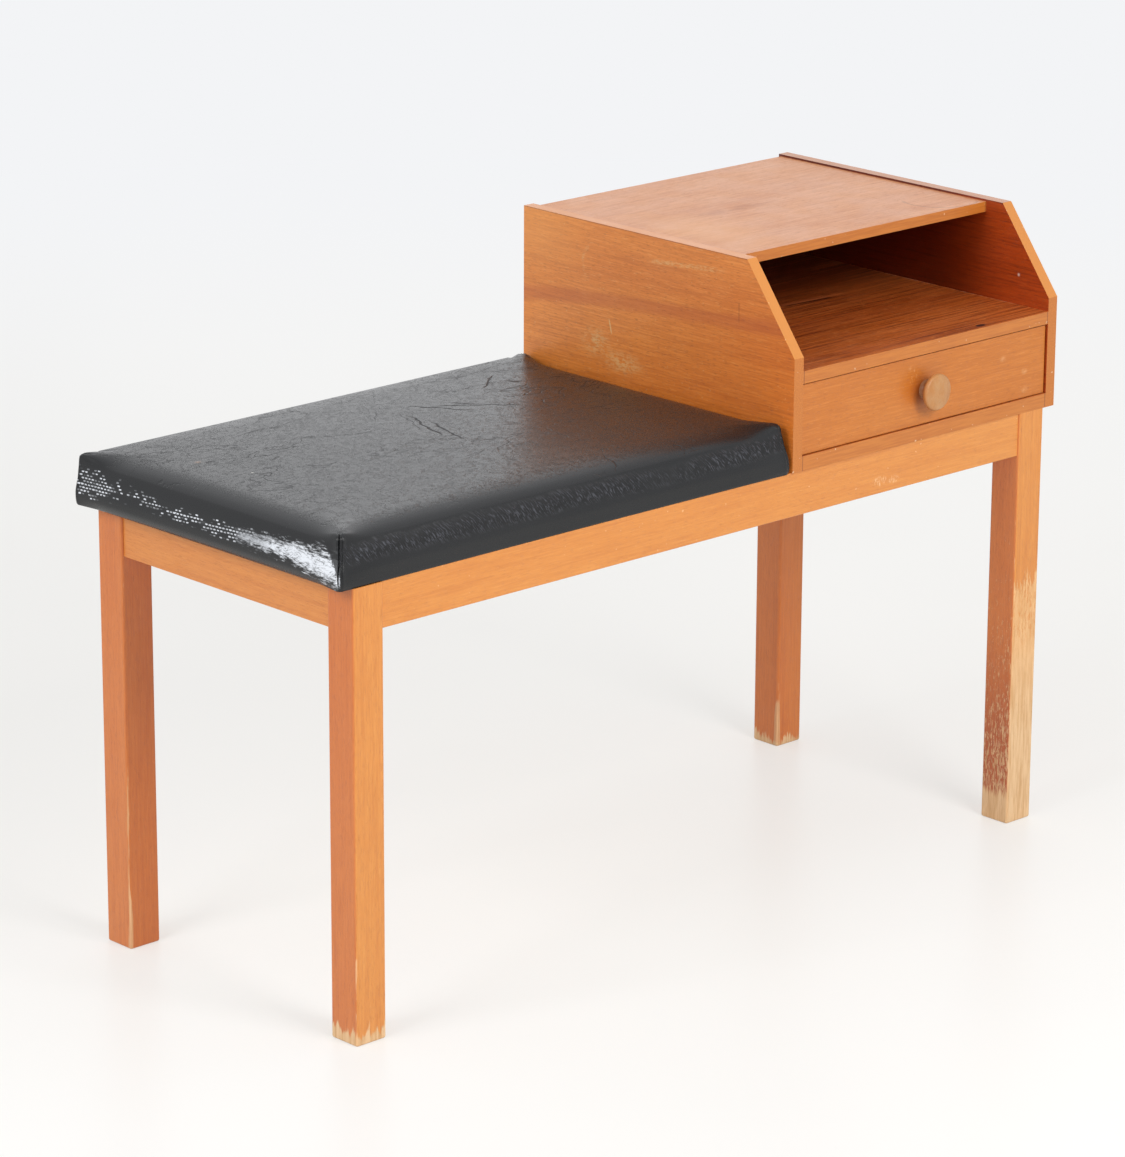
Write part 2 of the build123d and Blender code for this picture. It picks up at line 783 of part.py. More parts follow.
for side in ("left", "right"):
    x_middle = (side_outer[side] + side_inner[side]) / 2
    side_length = drawer_rear - front_rear_face
    y_middle = (drawer_rear + front_rear_face) / 2
    with BuildPart() as drawer_side:
        with BuildSketch(Plane.XY.offset(side_base)):
            with Locations((x_middle, y_middle)):
                Rectangle(drawer_side_thickness, side_length)
        extrude(amount=drawer_side_height)
        with BuildSketch(Plane.XY.offset(runner_slot_base)):
            with Locations((side_outer[side], y_middle)):
                Rectangle(2 * runner_slot_depth, side_length)
        extrude(amount=runner_slot_height, mode=Mode.SUBTRACT)
        with BuildSketch(Plane.XY.offset(bottom_slot_base)):
            with Locations((side_inner[side], y_middle)):
                Rectangle(2 * drawer_bottom_groove, side_length)
        extrude(amount=bottom_slot, mode=Mode.SUBTRACT)
        dowel_holes(
            turned(drawer_joint(side)), drawer_dowel_diameter,
            drawer_dowel_length - drawer_dowel_in_front,
        )
        pin_bore(back_joint(side), drawer_side_thickness)
    finish_piece(drawer_side, f"drawer_side_{side}")

with BuildPart() as drawer_back:
    with BuildSketch(Plane.XY.offset(bottom_upper)):
        with Locations((drawer_middle, (back_near_face + back_rear_face) / 2)):
            Rectangle(side_inner["right"] - side_inner["left"], drawer_back_thickness)
    extrude(amount=side_top - drawer_back_drop - bottom_upper)
    pilot_holes(back_joint("left") + back_joint("right"), pin_diameter, drawer_pin_length)
    pilot_holes(bottom_pin_planes, pin_diameter, pin_length)
finish_piece(drawer_back, "drawer_back")

with BuildPart() as drawer_bottom:
    near = front_rear_face - drawer_bottom_groove + bottom_edge_gap
    width = side_inner["right"] - side_inner["left"] + 2 * (drawer_bottom_groove - bottom_edge_gap)
    with BuildSketch(Plane.XY.offset(bottom_base)):
        with Locations((drawer_middle, (near + back_rear_face) / 2)):
            Rectangle(width, back_rear_face - near)
    extrude(amount=drawer_bottom_thickness)
    pin_bore(bottom_pin_planes, drawer_bottom_thickness)
finish_piece(drawer_bottom, "drawer_bottom")

with BuildPart() as drawer_dowels:
    shift = drawer_dowel_length / 2 - drawer_dowel_in_front
    with Locations(*shifted(drawer_joint("left") + drawer_joint("right"), shift)):
        Cylinder(drawer_dowel_diameter / 2, drawer_dowel_length)
finish_piece(drawer_dowels, "drawer_dowels")

with BuildPart() as drawer_pins:
    with Locations(*back_joint("left"), *back_joint("right")):
        add(drawer_pin)
    with Locations(*bottom_pin_planes):
        add(board_pin)
finish_piece(drawer_pins, "drawer_pins")

# Turned knob: a waisted neck and a flat, slightly domed face
knob_centre = (drawer_middle, drawer_face, knob_height)
with BuildPart() as drawer_knob:
    with BuildSketch(Plane(origin=knob_centre)):
        base, neck, rim = knob_base_diameter / 2, knob_neck_diameter / 2, knob_diameter / 2
        rim_front = knob_dome - knob_reach
        rim_back = rim_front + knob_rim_thickness
        rim_turn = rim - knob_rim_thickness / 2
        with BuildLine():
            Polyline((0, -knob_reach), (0, 0), (base, 0))
            ThreePointArc((base, 0), (neck, rim_back / 2), (base, rim_back))
            Line((base, rim_back), (rim_turn, rim_back))
            ThreePointArc(
                (rim_turn, rim_back), (rim, (rim_back + rim_front) / 2), (rim_turn, rim_front)
            )
            TangentArc((0, -knob_reach), (rim_turn, rim_front), tangent=(1, 0))
        make_face()
    revolve(axis=Axis(knob_centre, (0, 1, 0)))
    drill(
        [Plane(origin=knob_centre, z_dir=(0, 1, 0))],
        screw_diameter / 2 + screw_clearance, knob_screw_depth + screw_clearance,
    )
finish_piece(drawer_knob, "drawer_knob")

with BuildPart() as knob_screw:
    with Locations(knob_screw_plane):
        add(knob_fixing)
finish_piece(knob_screw, "knob_screw")
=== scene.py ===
import math

import bmesh
import bpy
import numpy as np
from mathutils import Matrix, Vector


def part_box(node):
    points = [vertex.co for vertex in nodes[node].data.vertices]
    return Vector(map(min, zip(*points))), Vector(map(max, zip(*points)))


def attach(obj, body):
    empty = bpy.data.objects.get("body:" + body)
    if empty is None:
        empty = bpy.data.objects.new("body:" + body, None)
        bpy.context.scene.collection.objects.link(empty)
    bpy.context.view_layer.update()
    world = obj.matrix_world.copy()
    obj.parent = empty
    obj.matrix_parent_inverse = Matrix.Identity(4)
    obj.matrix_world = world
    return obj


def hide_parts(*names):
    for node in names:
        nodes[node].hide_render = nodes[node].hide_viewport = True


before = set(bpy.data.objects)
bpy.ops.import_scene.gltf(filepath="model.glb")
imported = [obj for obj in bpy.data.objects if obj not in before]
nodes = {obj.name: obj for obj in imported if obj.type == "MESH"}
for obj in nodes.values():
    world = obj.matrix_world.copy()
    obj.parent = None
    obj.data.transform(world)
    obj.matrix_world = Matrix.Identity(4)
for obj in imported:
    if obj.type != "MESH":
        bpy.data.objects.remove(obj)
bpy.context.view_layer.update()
print("frame loaded, nodes:", len(nodes))


def box(name, grow=0.0):
    # corners of a CAD piece, grown on every side, to the nearest tenth of a millimetre
    low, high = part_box(name)
    return [round(value - grow, 4) for value in low], [round(value + grow, 4) for value in high]


def middleOf(name):
    return [(low + high) / 2 for low, high in zip(*box(name))]


# shader helpers

def paint(red, green, blue):
    # display colour, 0 to 255, as the linear colour that the shaders take
    channels = [c / 255 for c in (red, green, blue)]
    return tuple(c / 12.92 if c <= 0.04045 else ((c + 0.055) / 1.055) ** 2.4 for c in channels) + (1,)


class Wire:
    # a socket that can be written in sums
    def __init__(self, finish, socket):
        self.finish, self.socket = finish, socket

    def __add__(self, other):
        return self.finish.math("ADD", self, other)

    def __sub__(self, other):
        return self.finish.math("SUBTRACT", self, other)

    def __rsub__(self, other):
        return self.finish.math("SUBTRACT", other, self)

    def __mul__(self, other):
        return self.finish.math("MULTIPLY", self, other)

    def __truediv__(self, other):
        return self.finish.math("DIVIDE", self, other)

    def __rtruediv__(self, other):
        return self.finish.math("DIVIDE", other, self)

    def __abs__(self):
        return self.finish.math("ABSOLUTE", self)

    def __lt__(self, other):
        return self.finish.math("LESS_THAN", self, other)

    def __gt__(self, other):
        return self.finish.math("GREATER_THAN", self, other)

    __radd__, __rmul__ = __add__, __mul__


class Finish:
    # one material, or the world, and the nodes in it
    def __init__(self, name, kind="materials"):
        self.owner = getattr(bpy.data, kind).new(name)
        self.owner.use_nodes = True
        self.nodes, self.links = self.owner.node_tree.nodes, self.owner.node_tree.links
        self.nodes.clear()
        self.point = self.node("ShaderNodeTexCoord", outlet="Object")
        self.normal = self.node("ShaderNodeTexCoord", outlet="Normal")

    def node(self, kind, settings=None, sockets=None, outlet=0):
        made = self.nodes.new(kind)
        for name, value in (settings or {}).items():
            if name == "stops":
                ramp = made.color_ramp.elements
                while len(ramp) < len(value):
                    ramp.new(1)
                for element, (place, colour) in zip(ramp, value):
                    element.position, element.color = place, colour
            else:
                setattr(made, name, value)
        for name, value in (sockets or {}).items():
            if isinstance(value, Wire):
                self.links.new(value.socket, made.inputs[name])
            else:
                made.inputs[name].default_value = value
        return Wire(self, made.outputs[outlet])

    def math(self, operation, *values):
        return self.node("ShaderNodeMath", {"operation": operation}, dict(enumerate(values)))

    def axes(self, vector):
        return [self.node("ShaderNodeSeparateXYZ", None, {0: vector}, axis) for axis in range(3)]

    def vector(self, operation, *values, outlet=0):
        return self.node("ShaderNodeVectorMath", {"operation": operation}, dict(enumerate(values)), outlet)

    def fade(self, value, low, high, floor=0.0, top=1.0):
        # smooth step from floor to top as value goes from low to high
        places = {"Value": value, "From Min": low, "From Max": high, "To Min": floor, "To Max": top}
        return self.node("ShaderNodeMapRange", {"interpolation_type": "SMOOTHSTEP"}, places)

    def level(self, value, stops):
        # a number that follows value through a few stops
        grey = [(place, (level, level, level, 1)) for place, level in stops]
        return self.node("ShaderNodeValToRGB", {"stops": grey}, {0: value})

    def noise(self, scale, stretch=(1, 1, 1), detail=2.0, rough=0.5, warp=0.0, shift=(0, 0, 0)):
        places = {"Vector": self.point, "Location": shift, "Scale": stretch}
        place = self.node("ShaderNodeMapping", None, places)
        values = {"Vector": place, "Scale": scale, "Detail": detail, "Roughness": rough, "Distortion": warp}
        return self.node("ShaderNodeTexNoise", None, values)

    def cells(self, scale):
        return self.node("ShaderNodeTexVoronoi", None, {"Vector": self.point, "Scale": scale}, "Distance")

    def mix(self, share, under, over, blend="MIX"):
        settings = {"data_type": "RGBA", "blend_type": blend}
        return self.node("ShaderNodeMix", settings, {0: share, 6: under, 7: over}, 2)

    def tint(self, share, colour, shade):
        # the share that colour is multiplied by shade
        return self.mix(share, colour, self.mix(1.0, colour, shade, "MULTIPLY"))

    def most(self, value, *others):
        # the highest of several values at each point
        for other in others:
            value = self.math("MAXIMUM", value, other)
        return value

    def near(self, place, reach):
        # 1 at place, 0 at reach from it, per axis
        offset = self.vector("SUBTRACT", self.point, place)
        size = self.vector("DIVIDE", offset, reach)
        return self.fade(self.vector("LENGTH", size, outlet=1), 1.0, 0.0)

    def line(self, start, end, width, wander=0.012):
        # 1 on a level line from start to end, 0 at width from it; the line wanders a little
        reach = Vector(end) - Vector(start)
        drift = self.node("ShaderNodeTexNoise", None, {"Vector": self.point, "Scale": 60.0, "Detail": 3.0}, 1)
        drift = self.vector("SUBTRACT", drift, (0.5, 0.5, 0.5))
        drift = self.node("ShaderNodeVectorMath", {"operation": "SCALE"}, {0: drift, "Scale": wander})
        flat = self.vector("MULTIPLY", self.vector("ADD", self.point, drift), (1, 1, 0))
        offset = self.vector("SUBTRACT", flat, (*start, 0))
        share = self.vector("DOT_PRODUCT", offset, (*(reach / reach.length_squared), 0), outlet=1)
        share = self.node("ShaderNodeClamp", None, {"Value": share})
        along = self.node("ShaderNodeVectorMath", {"operation": "SCALE"}, {0: (*reach, 0), "Scale": share})
        away = self.vector("LENGTH", self.vector("SUBTRACT", offset, along), outlet=1)
        taper = self.fade(abs(share - 0.5), 0.5, 0.25)
        return self.fade(away, width, 0.0) * taper

    def surface(self, colour, roughness, height=None, depth=0.001, **constants):
        values = {"Base Color": colour, "Roughness": roughness}
        values.update({name.replace("_", " "): value for name, value in constants.items()})
        if height is not None:
            bump = {"Strength": 1.0, "Distance": depth, "Height": height}
            values["Normal"] = self.node("ShaderNodeBump", None, bump)
        self.show(self.node("ShaderNodeBsdfPrincipled", None, values))
        return self.owner

    def seen(self):
        # 1 for what the camera sees, also in reflections and through glass
        rays = ("Is Camera Ray", "Is Glossy Ray", "Is Transmission Ray")
        return self.most(*[self.node("ShaderNodeLightPath", outlet=name) for name in rays])

    def show(self, shader, kind="ShaderNodeOutputMaterial"):
        output = self.nodes.new(kind)
        self.links.new(shader.socket, output.inputs["Surface"])


def stretched(axis, share):
    # the stretch of a pattern that runs along one axis
    return tuple(share if index == axis else 1.0 for index in range(3))


def dress(finish, *names):
    for name in names:
        mesh = nodes[name].data
        if not mesh.materials:
            mesh.materials.append(finish)
        for index in range(len(mesh.materials)):
            mesh.materials[index] = finish


# camera, lamps and floor

view = {
    "place": (-2.99205, -3.14955, 1.62967),
    "turn": -0.7545,
    "fall": 0.2999,  # below the horizon
    "roll": 0.0045,
    "lens": 152.46,
    "lift": 0.00735,
}
cameraData = bpy.data.cameras.new("camera")
camera = bpy.data.objects.new("camera", cameraData)
bpy.context.scene.collection.objects.link(camera)
aim = Matrix.Rotation(view["turn"], 4, "Z") @ Matrix.Rotation(math.pi / 2 - view["fall"], 4, "X")
aim = aim @ Matrix.Rotation(view["roll"], 4, "Z")
camera.matrix_world = Matrix.Translation(view["place"]) @ aim
cameraData.lens, cameraData.sensor_width, cameraData.shift_y = view["lens"], 36, view["lift"]
cameraData.clip_start, cameraData.clip_end = 0.05, 100
bpy.context.scene.camera = camera

studio = {
    "target": (0.0, 0.0, 0.3),
    "frontBox": {"place": (-0.1, -2.3, 1.75), "size": 1.1, "power": 36, "colour": (1.0, 0.985, 0.96)},
    "leftBox": {"place": (-2.3, -0.1, 1.75), "size": 1.1, "power": 24, "colour": (0.98, 0.985, 1.0)},
    "backBox": {"place": (2.6, 2.3, 1.35), "size": 2.4, "power": 8.0, "colour": (0.99, 0.99, 1.0)},
    "room": 0.61,
    "background": paint(243, 244, 246),
    "floor": paint(240, 240, 240),
    "floorMottle": paint(234, 234, 234),
    "floorGloss": 0.34,
    "floorReach": 30,
    "floorFade": (0.7, 3.2),
    "floorGlow": paint(255, 254, 250),
    "nearGlow": 0.5,
}


def softBox(name, settings):
    data = bpy.data.lights.new(name, "AREA")
    data.shape, data.size = "SQUARE", settings["size"]
    data.energy, data.color = settings["power"], settings["colour"]
    lamp = bpy.data.objects.new(name, data)
    lamp.location = settings["place"]
    away = Vector(settings["place"]) - Vector(studio["target"])
    lamp.rotation_euler = away.to_track_quat("Z", "Y").to_euler()
    lamp.visible_camera = False
    bpy.context.scene.collection.objects.link(lamp)


def makeRoom():
    room = Finish("room", "worlds")
    bpy.context.scene.world = room.owner
    light = room.node("ShaderNodeBackground", None, {"Color": (1, 1, 1, 1), "Strength": studio["room"]})
    backdrop = room.node("ShaderNodeBackground", None, {"Color": studio["background"], "Strength": 1.0})
    either = room.node("ShaderNodeMixShader", None, {0: room.seen(), 1: light, 2: backdrop})
    room.show(either, "ShaderNodeOutputWorld")


def makeFloor():
    bm = bmesh.new()
    bmesh.ops.create_grid(bm, x_segments=1, y_segments=1, size=studio["floorReach"])
    data = bpy.data.meshes.new("floor")
    bm.to_mesh(data)
    bm.free()
    floor = bpy.data.objects.new("floor", data)
    bpy.context.scene.collection.objects.link(floor)
    finish = Finish("pale floor")
    mottle = finish.noise(2.2, detail=4.0)
    colour = finish.mix(finish.fade(mottle, 0.3, 0.7, 0.0, 0.35), studio["floor"], studio["floorMottle"])
    lit = finish.node("ShaderNodeBsdfPrincipled", None, {
        "Base Color": colour, "Roughness": studio["floorGloss"], "Specular IOR Level": 0.25,
    })
    # far from the object the floor turns into the pale background for the camera and for reflections
    away = finish.vector("LENGTH", finish.point, outlet=1)
    glow = finish.mix(finish.fade(away, *studio["floorFade"]), studio["floorGlow"], studio["background"])
    backdrop = finish.node("ShaderNodeEmission", None, {"Color": glow, "Strength": 1.0})
    share = finish.seen() * finish.fade(away, *studio["floorFade"], studio["nearGlow"], 1.0)
    finish.show(finish.node("ShaderNodeMixShader", None, {0: share, 1: lit, 2: backdrop}))
    data.materials.append(finish.owner)


softBox("front softbox", studio["frontBox"])
softBox("left softbox", studio["leftBox"])
softBox("back softbox", studio["backBox"])
makeRoom()
makeFloor()
bpy.context.scene.view_settings.view_transform = "Standard"
print("camera, lamps and floor made")


# wood

def grain(finish, look, axis):
    # tone and height of wood whose grain runs along one axis, 0 to 2 for X to Z
    def along(share):
        return stretched(axis, share)

    broad = finish.noise(look["broad"], along(0.12), detail=3.0, warp=0.3)
    bands = finish.noise(look["bands"], along(0.03), detail=6.0, rough=0.68, warp=0.15, shift=(3, 5, 7))
    bands = finish.fade(bands, 0.47, 0.66)
    fibre = finish.noise(look["fibre"], along(0.04), detail=3.0, rough=0.65)
    flecks = finish.fade(finish.noise(look["fleck"], along(0.1), detail=1.0, shift=(1, 2, 3)), 0.62, 0.74)
    pores = finish.fade(finish.noise(look["pore"], along(0.08), detail=1.0), 0.6, 0.72)
    colour = finish.mix(finish.fade(broad, 0.3, 0.7), look["pale"], look["mid"])
    colour = finish.mix(bands * look["bandDepth"], colour, look["dark"])
    colour = finish.mix(finish.fade(fibre, 0.35, 0.7, 0.0, look["fibreDepth"]), colour, look["dark"])
    colour = finish.mix(finish.fade(fibre, 0.5, 0.25, 0.0, look["fibreDepth"] * 0.7), colour, look["light"])
    colour = finish.mix(flecks * look["fleckDepth"], colour, look["light"])
    colour = finish.mix(pores * look["poreDepth"], colour, look["poreColour"])
    return colour, fibre * 0.35 - pores * 0.5


beechLook = {
    "broad": 9.0, "bands": 240.0, "bandDepth": 0.22, "fibre": 700.0, "fibreDepth": 0.2,
    "fleck": 800.0, "fleckDepth": 0.2, "pore": 1700.0, "poreDepth": 0.2,
    "pale": paint(226, 150, 71), "mid": paint(218, 138, 60), "dark": paint(186, 98, 38),
    "light": paint(235, 170, 94), "poreColour": paint(172, 88, 32),
    "sideShade": paint(240, 201, 202), "gloss": 0.36, "coat": 0.25,
}
legWearAndShade = {
    "legEdge": (0.0151, 0.0163),  # from a leg's middle to its rubbed long edges
    "shadedLeft": paint(226, 188, 170), "shadedRight": paint(243, 211, 187), "innerDarker": paint(218, 190, 186),
    "footTop": (0.014, 0.009),
    "backFeet": 0.02, "backRightFoot": 0.005,  # how much lower these are worn
    "nearEdgeWidth": (0.0012, 0.0032), "nearEdgeTop": (0.06, 0.045), "leftHigher": 0.11,
    "bareFront": (0.246, 0.238),  # top of the bare part of the front right leg
    "bareInside": (0.034, 0.024),
    "bare": paint(232, 194, 148), "bareDark": paint(206, 160, 108), "bareWarm": paint(240, 176, 106),
    "edge": paint(236, 190, 140),
}
railWear = {
    "scratched": (
        ((0.2115, -0.17, 0.3839), (0.012, 0.01, 0.007)), ((0.2305, -0.17, 0.3825), (0.01, 0.01, 0.005)),
    ),
    "scratch": paint(250, 208, 156), "speck": paint(246, 196, 142),
}


def stainedBeech(name, axis, sideTint=0.75, wear=None):
    finish = Finish(name)
    look = beechLook
    colour, height = grain(finish, look, axis)
    # painted shade: the faces along X are made darker and redder than those along Y, partly the redder tone
    # these faces have
    side = finish.fade(abs(finish.axes(finish.normal)[0]), 0.5, 0.9)
    colour = finish.tint(side * sideTint, colour, look["sideShade"])
    gloss = look["gloss"] + finish.fade(finish.noise(35.0, detail=3.0), 0.3, 0.7) * 0.08
    if wear:
        colour, gloss, height = wear(finish, colour, gloss, height)
    return finish.surface(colour, gloss, height, 0.00025, Coat_Weight=look["coat"], Coat_Roughness=0.22)


def wornAndShadedLegs(finish, colour, gloss, height):
    wear = legWearAndShade
    x, y, z = finish.axes(finish.point)
    nx, ny = finish.axes(finish.normal)[:2]
    right, back = x > 0, y > 0
    # the front faces of the back legs are painted darker: painted shade under the seat
    facesFront = finish.fade(ny, -0.5, -0.8)
    shade = finish.mix(right, wear["shadedLeft"], wear["shadedRight"])
    colour = finish.tint(back * facesFront * 0.9, colour, shade)
    streak = finish.noise(330.0, stretched(2, 0.09), detail=3.0, rough=0.6)
    ragged = finish.noise(120.0, stretched(2, 0.35), detail=3.0)
    # worn feet, the back right one less and the back left one not at all
    lower = back * (wear["backFeet"] - right * (wear["backFeet"] - wear["backRightFoot"]))
    foot = z + lower + (streak - 0.5) * 0.03 + (ragged - 0.5) * 0.02
    bare = finish.fade(foot, *wear["footTop"])
    # the back legs' near edges are rubbed bare, the left one higher up
    edgeLeft, edgeY = box("leg_back_left")[0][:2]
    edgeRight = box("leg_back_right")[0][0]
    fromEdge = finish.most(abs(x - edgeLeft - right * (edgeRight - edgeLeft)), abs(y - edgeY))
    width = finish.fade(z, 0.07, 0.0, *wear["nearEdgeWidth"]) + right * 0.0014 + (streak - 0.5) * 0.005
    rubbed = finish.fade(fromEdge - width, 0.0006, -0.0006) * back
    rise = z - (1 - right) * wear["leftHigher"] + (ragged - 0.5) * 0.08
    rubbed = rubbed * finish.fade(rise, *wear["nearEdgeTop"])
    # the front right leg is rubbed bare low on its front, and crackled and darkened on its inner side
    corner = (x > 0.35) * (y < -0.1)
    thread = finish.noise(620.0, stretched(2, 0.2), detail=3.0, rough=0.7, warp=0.5, shift=(2, 6, 1))
    front = finish.fade(z + (thread - 0.5) * 0.05 + (streak - 0.5) * 0.05, *wear["bareFront"])
    stained = finish.fade(thread, 0.5, 0.62) * finish.fade(z, 0.165, 0.205)
    front = front * (1 - stained * 0.75) * facesFront
    facesIn = corner * finish.fade(nx, -0.5, -0.8)
    # the inner side is made darker towards the floor
    colour = finish.tint(facesIn * finish.fade(z, 0.22, 0.06), colour, wear["innerDarker"])
    inner = finish.fade(thread - z * 0.75 - (y + 0.16) * 1.5, 0.43, 0.51)
    inner = finish.most(inner * 0.8, finish.fade(z + (streak - 0.5) * 0.03, *wear["bareInside"]))
    bare = finish.most(bare, corner * front, facesIn * inner)
    # rubbed long edges
    ends = zip((x, y), middleOf("leg_front_left"), middleOf("leg_back_right"))
    fromLeg = [abs(abs(at - (first + last) / 2) - (last - first) / 2) for at, first, last in ends]
    edge = finish.fade(finish.math("MINIMUM", *fromLeg), *wear["legEdge"])
    edge = edge * finish.fade(streak + ragged * 0.4 - finish.fade(z, 0.06, 0.14, 0.0, 0.16), 0.66, 0.8)
    pale = finish.mix(finish.fade(streak, 0.3, 0.75), wear["bare"], wear["bareDark"])
    pale = finish.mix(finish.fade(z, 0.08, 0.24) * 0.5, pale, wear["bareWarm"])
    colour = finish.mix(rubbed * 0.6, colour, pale)
    colour = finish.mix(bare, colour, pale)
    colour = finish.mix(edge * 0.8, colour, wear["edge"])
    return colour, gloss + bare * 0.3, height - bare * 0.6


def wornRails(finish, colour, gloss, height):
    # two small scratched places on the front rail, and a few knocked specks
    fine = finish.noise(900.0, (1, 1, 0.2), detail=3.0, rough=0.7)
    scratched = finish.most(*[finish.near(*place) for place in railWear["scratched"]])
    scratched = finish.fade(scratched, 0.0, 0.4) * finish.fade(fine, 0.5, 0.6)
    colour = finish.mix(scratched * 0.6, colour, railWear["scratch"])
    speck = finish.fade(finish.noise(260.0, detail=1.0, shift=(4, 9, 2)), 0.75, 0.8)
    return finish.mix(speck * 0.6, colour, railWear["speck"]), gloss, height


teakLook = {
    "broad": 10.0, "bands": 230.0, "bandDepth": 0.28, "fibre": 680.0, "fibreDepth": 0.3,
    "fleck": 900.0, "fleckDepth": 0.4, "pore": 1700.0, "poreDepth": 0.4,
    "pale": paint(237, 145, 63), "mid": paint(224, 129, 52), "dark": paint(172, 84, 28),
    "light": paint(243, 170, 96), "poreColour": paint(150, 78, 34),
    "edge": paint(200, 121, 46), "edgeDark": paint(187, 108, 39), "rim": paint(220, 146, 86),
    "slope": paint(212, 136, 60), "joint": paint(122, 60, 26), "speck": paint(240, 216, 180),
    "gloss": 0.38, "coat": 0.15,
}
leftInside, rightInside = box("left_side_panel")[1][0], box("right_side_panel")[0][0]
cabinet = {"middle": (leftInside + rightInside) / 2, "inside": (rightInside - leftInside) / 2}


def teak(name, axis, face, changes=None, marks=None):
    # face is the axis that the veneered faces look along; the other faces are edges
    finish = Finish(name)
    look = dict(teakLook, **(changes or {}))
    colour, height = grain(finish, look, axis)
    normal = finish.axes(finish.normal)
    edge = finish.fade(abs(normal[face]), 0.6, 0.4)
    fibre = finish.noise(700.0, stretched(axis, 0.05), detail=2.0)
    strip = finish.mix(finish.fade(fibre, 0.3, 0.7), look["edge"], look["edgeDark"])
    if face != 2:
        strip = finish.mix(finish.fade(normal[2], 0.2, 0.5), strip, look["slope"])
        strip = finish.mix(finish.fade(normal[2], 0.9, 1.0), strip, look["rim"])
    # thin joints where the boards meet the side panels, and a few knocked specks
    x = finish.axes(finish.point)[0]
    fromPanel = cabinet["inside"] - abs(x - cabinet["middle"])
    joint = finish.fade(abs(fromPanel - 0.001), 0.0009, 0.0003)
    joint = joint * finish.fade(normal[1], -0.8, -0.95)
    strip = finish.mix(joint * 0.6, strip, look["joint"])
    speck = finish.fade(finish.noise(230.0, detail=1.0, shift=(8, 3, 2)), 0.76, 0.8)
    strip = finish.mix(speck * 0.6, strip, look["speck"])
    if marks:
        colour = marks(finish, colour)
    if "rightRim" in look:
        rightRim = (x > cabinet["middle"]) * finish.fade(normal[2], 0.9, 1.0)
        strip = finish.mix(rightRim * 0.8, strip, look["rightRim"])
    colour = finish.mix(edge, colour, strip)
    height = height * (1 - edge)
    gloss = look["gloss"] + finish.fade(finish.noise(28.0, detail=3.0), 0.3, 0.7) * 0.08
    return finish.surface(colour, gloss, height, 0.00022, Coat_Weight=look["coat"], Coat_Roughness=0.25)


panelWearAndShade = {
    "deep": paint(242, 222, 194), "faded": paint(246, 172, 96), "topEdge": paint(112, 58, 36),
    "band": paint(184, 88, 42), "bandHeight": 0.5345, "bandFall": 0.081,
    "inside": paint(198, 136, 104), "insideStreak": paint(92, 30, 10), "shadeFarIn": paint(124, 96, 92),
    "mark": paint(228, 180, 118),
    "scuffed": (
        ((0.093, 0.088, 0.489), (0.02, 0.028, 0.02)), ((0.093, 0.052, 0.475), (0.02, 0.04, 0.015)),
    ),
    "high": (-0.031, 0.5828),  # middle of the high mark, Y and Z
    "curved": (0.093, 0.087, 0.563), "curvedRadius": 0.0195, "curvedFrom": 0.098,
    "scratch": (0.0685, 0.507),
    "line": (-0.1006, 0.5517), "lineColour": paint(120, 58, 24),
    "speck": ((0.438, -0.1332, 0.537), (0.01, 0.0024, 0.0024)), "speckColour": paint(222, 196, 182),
}


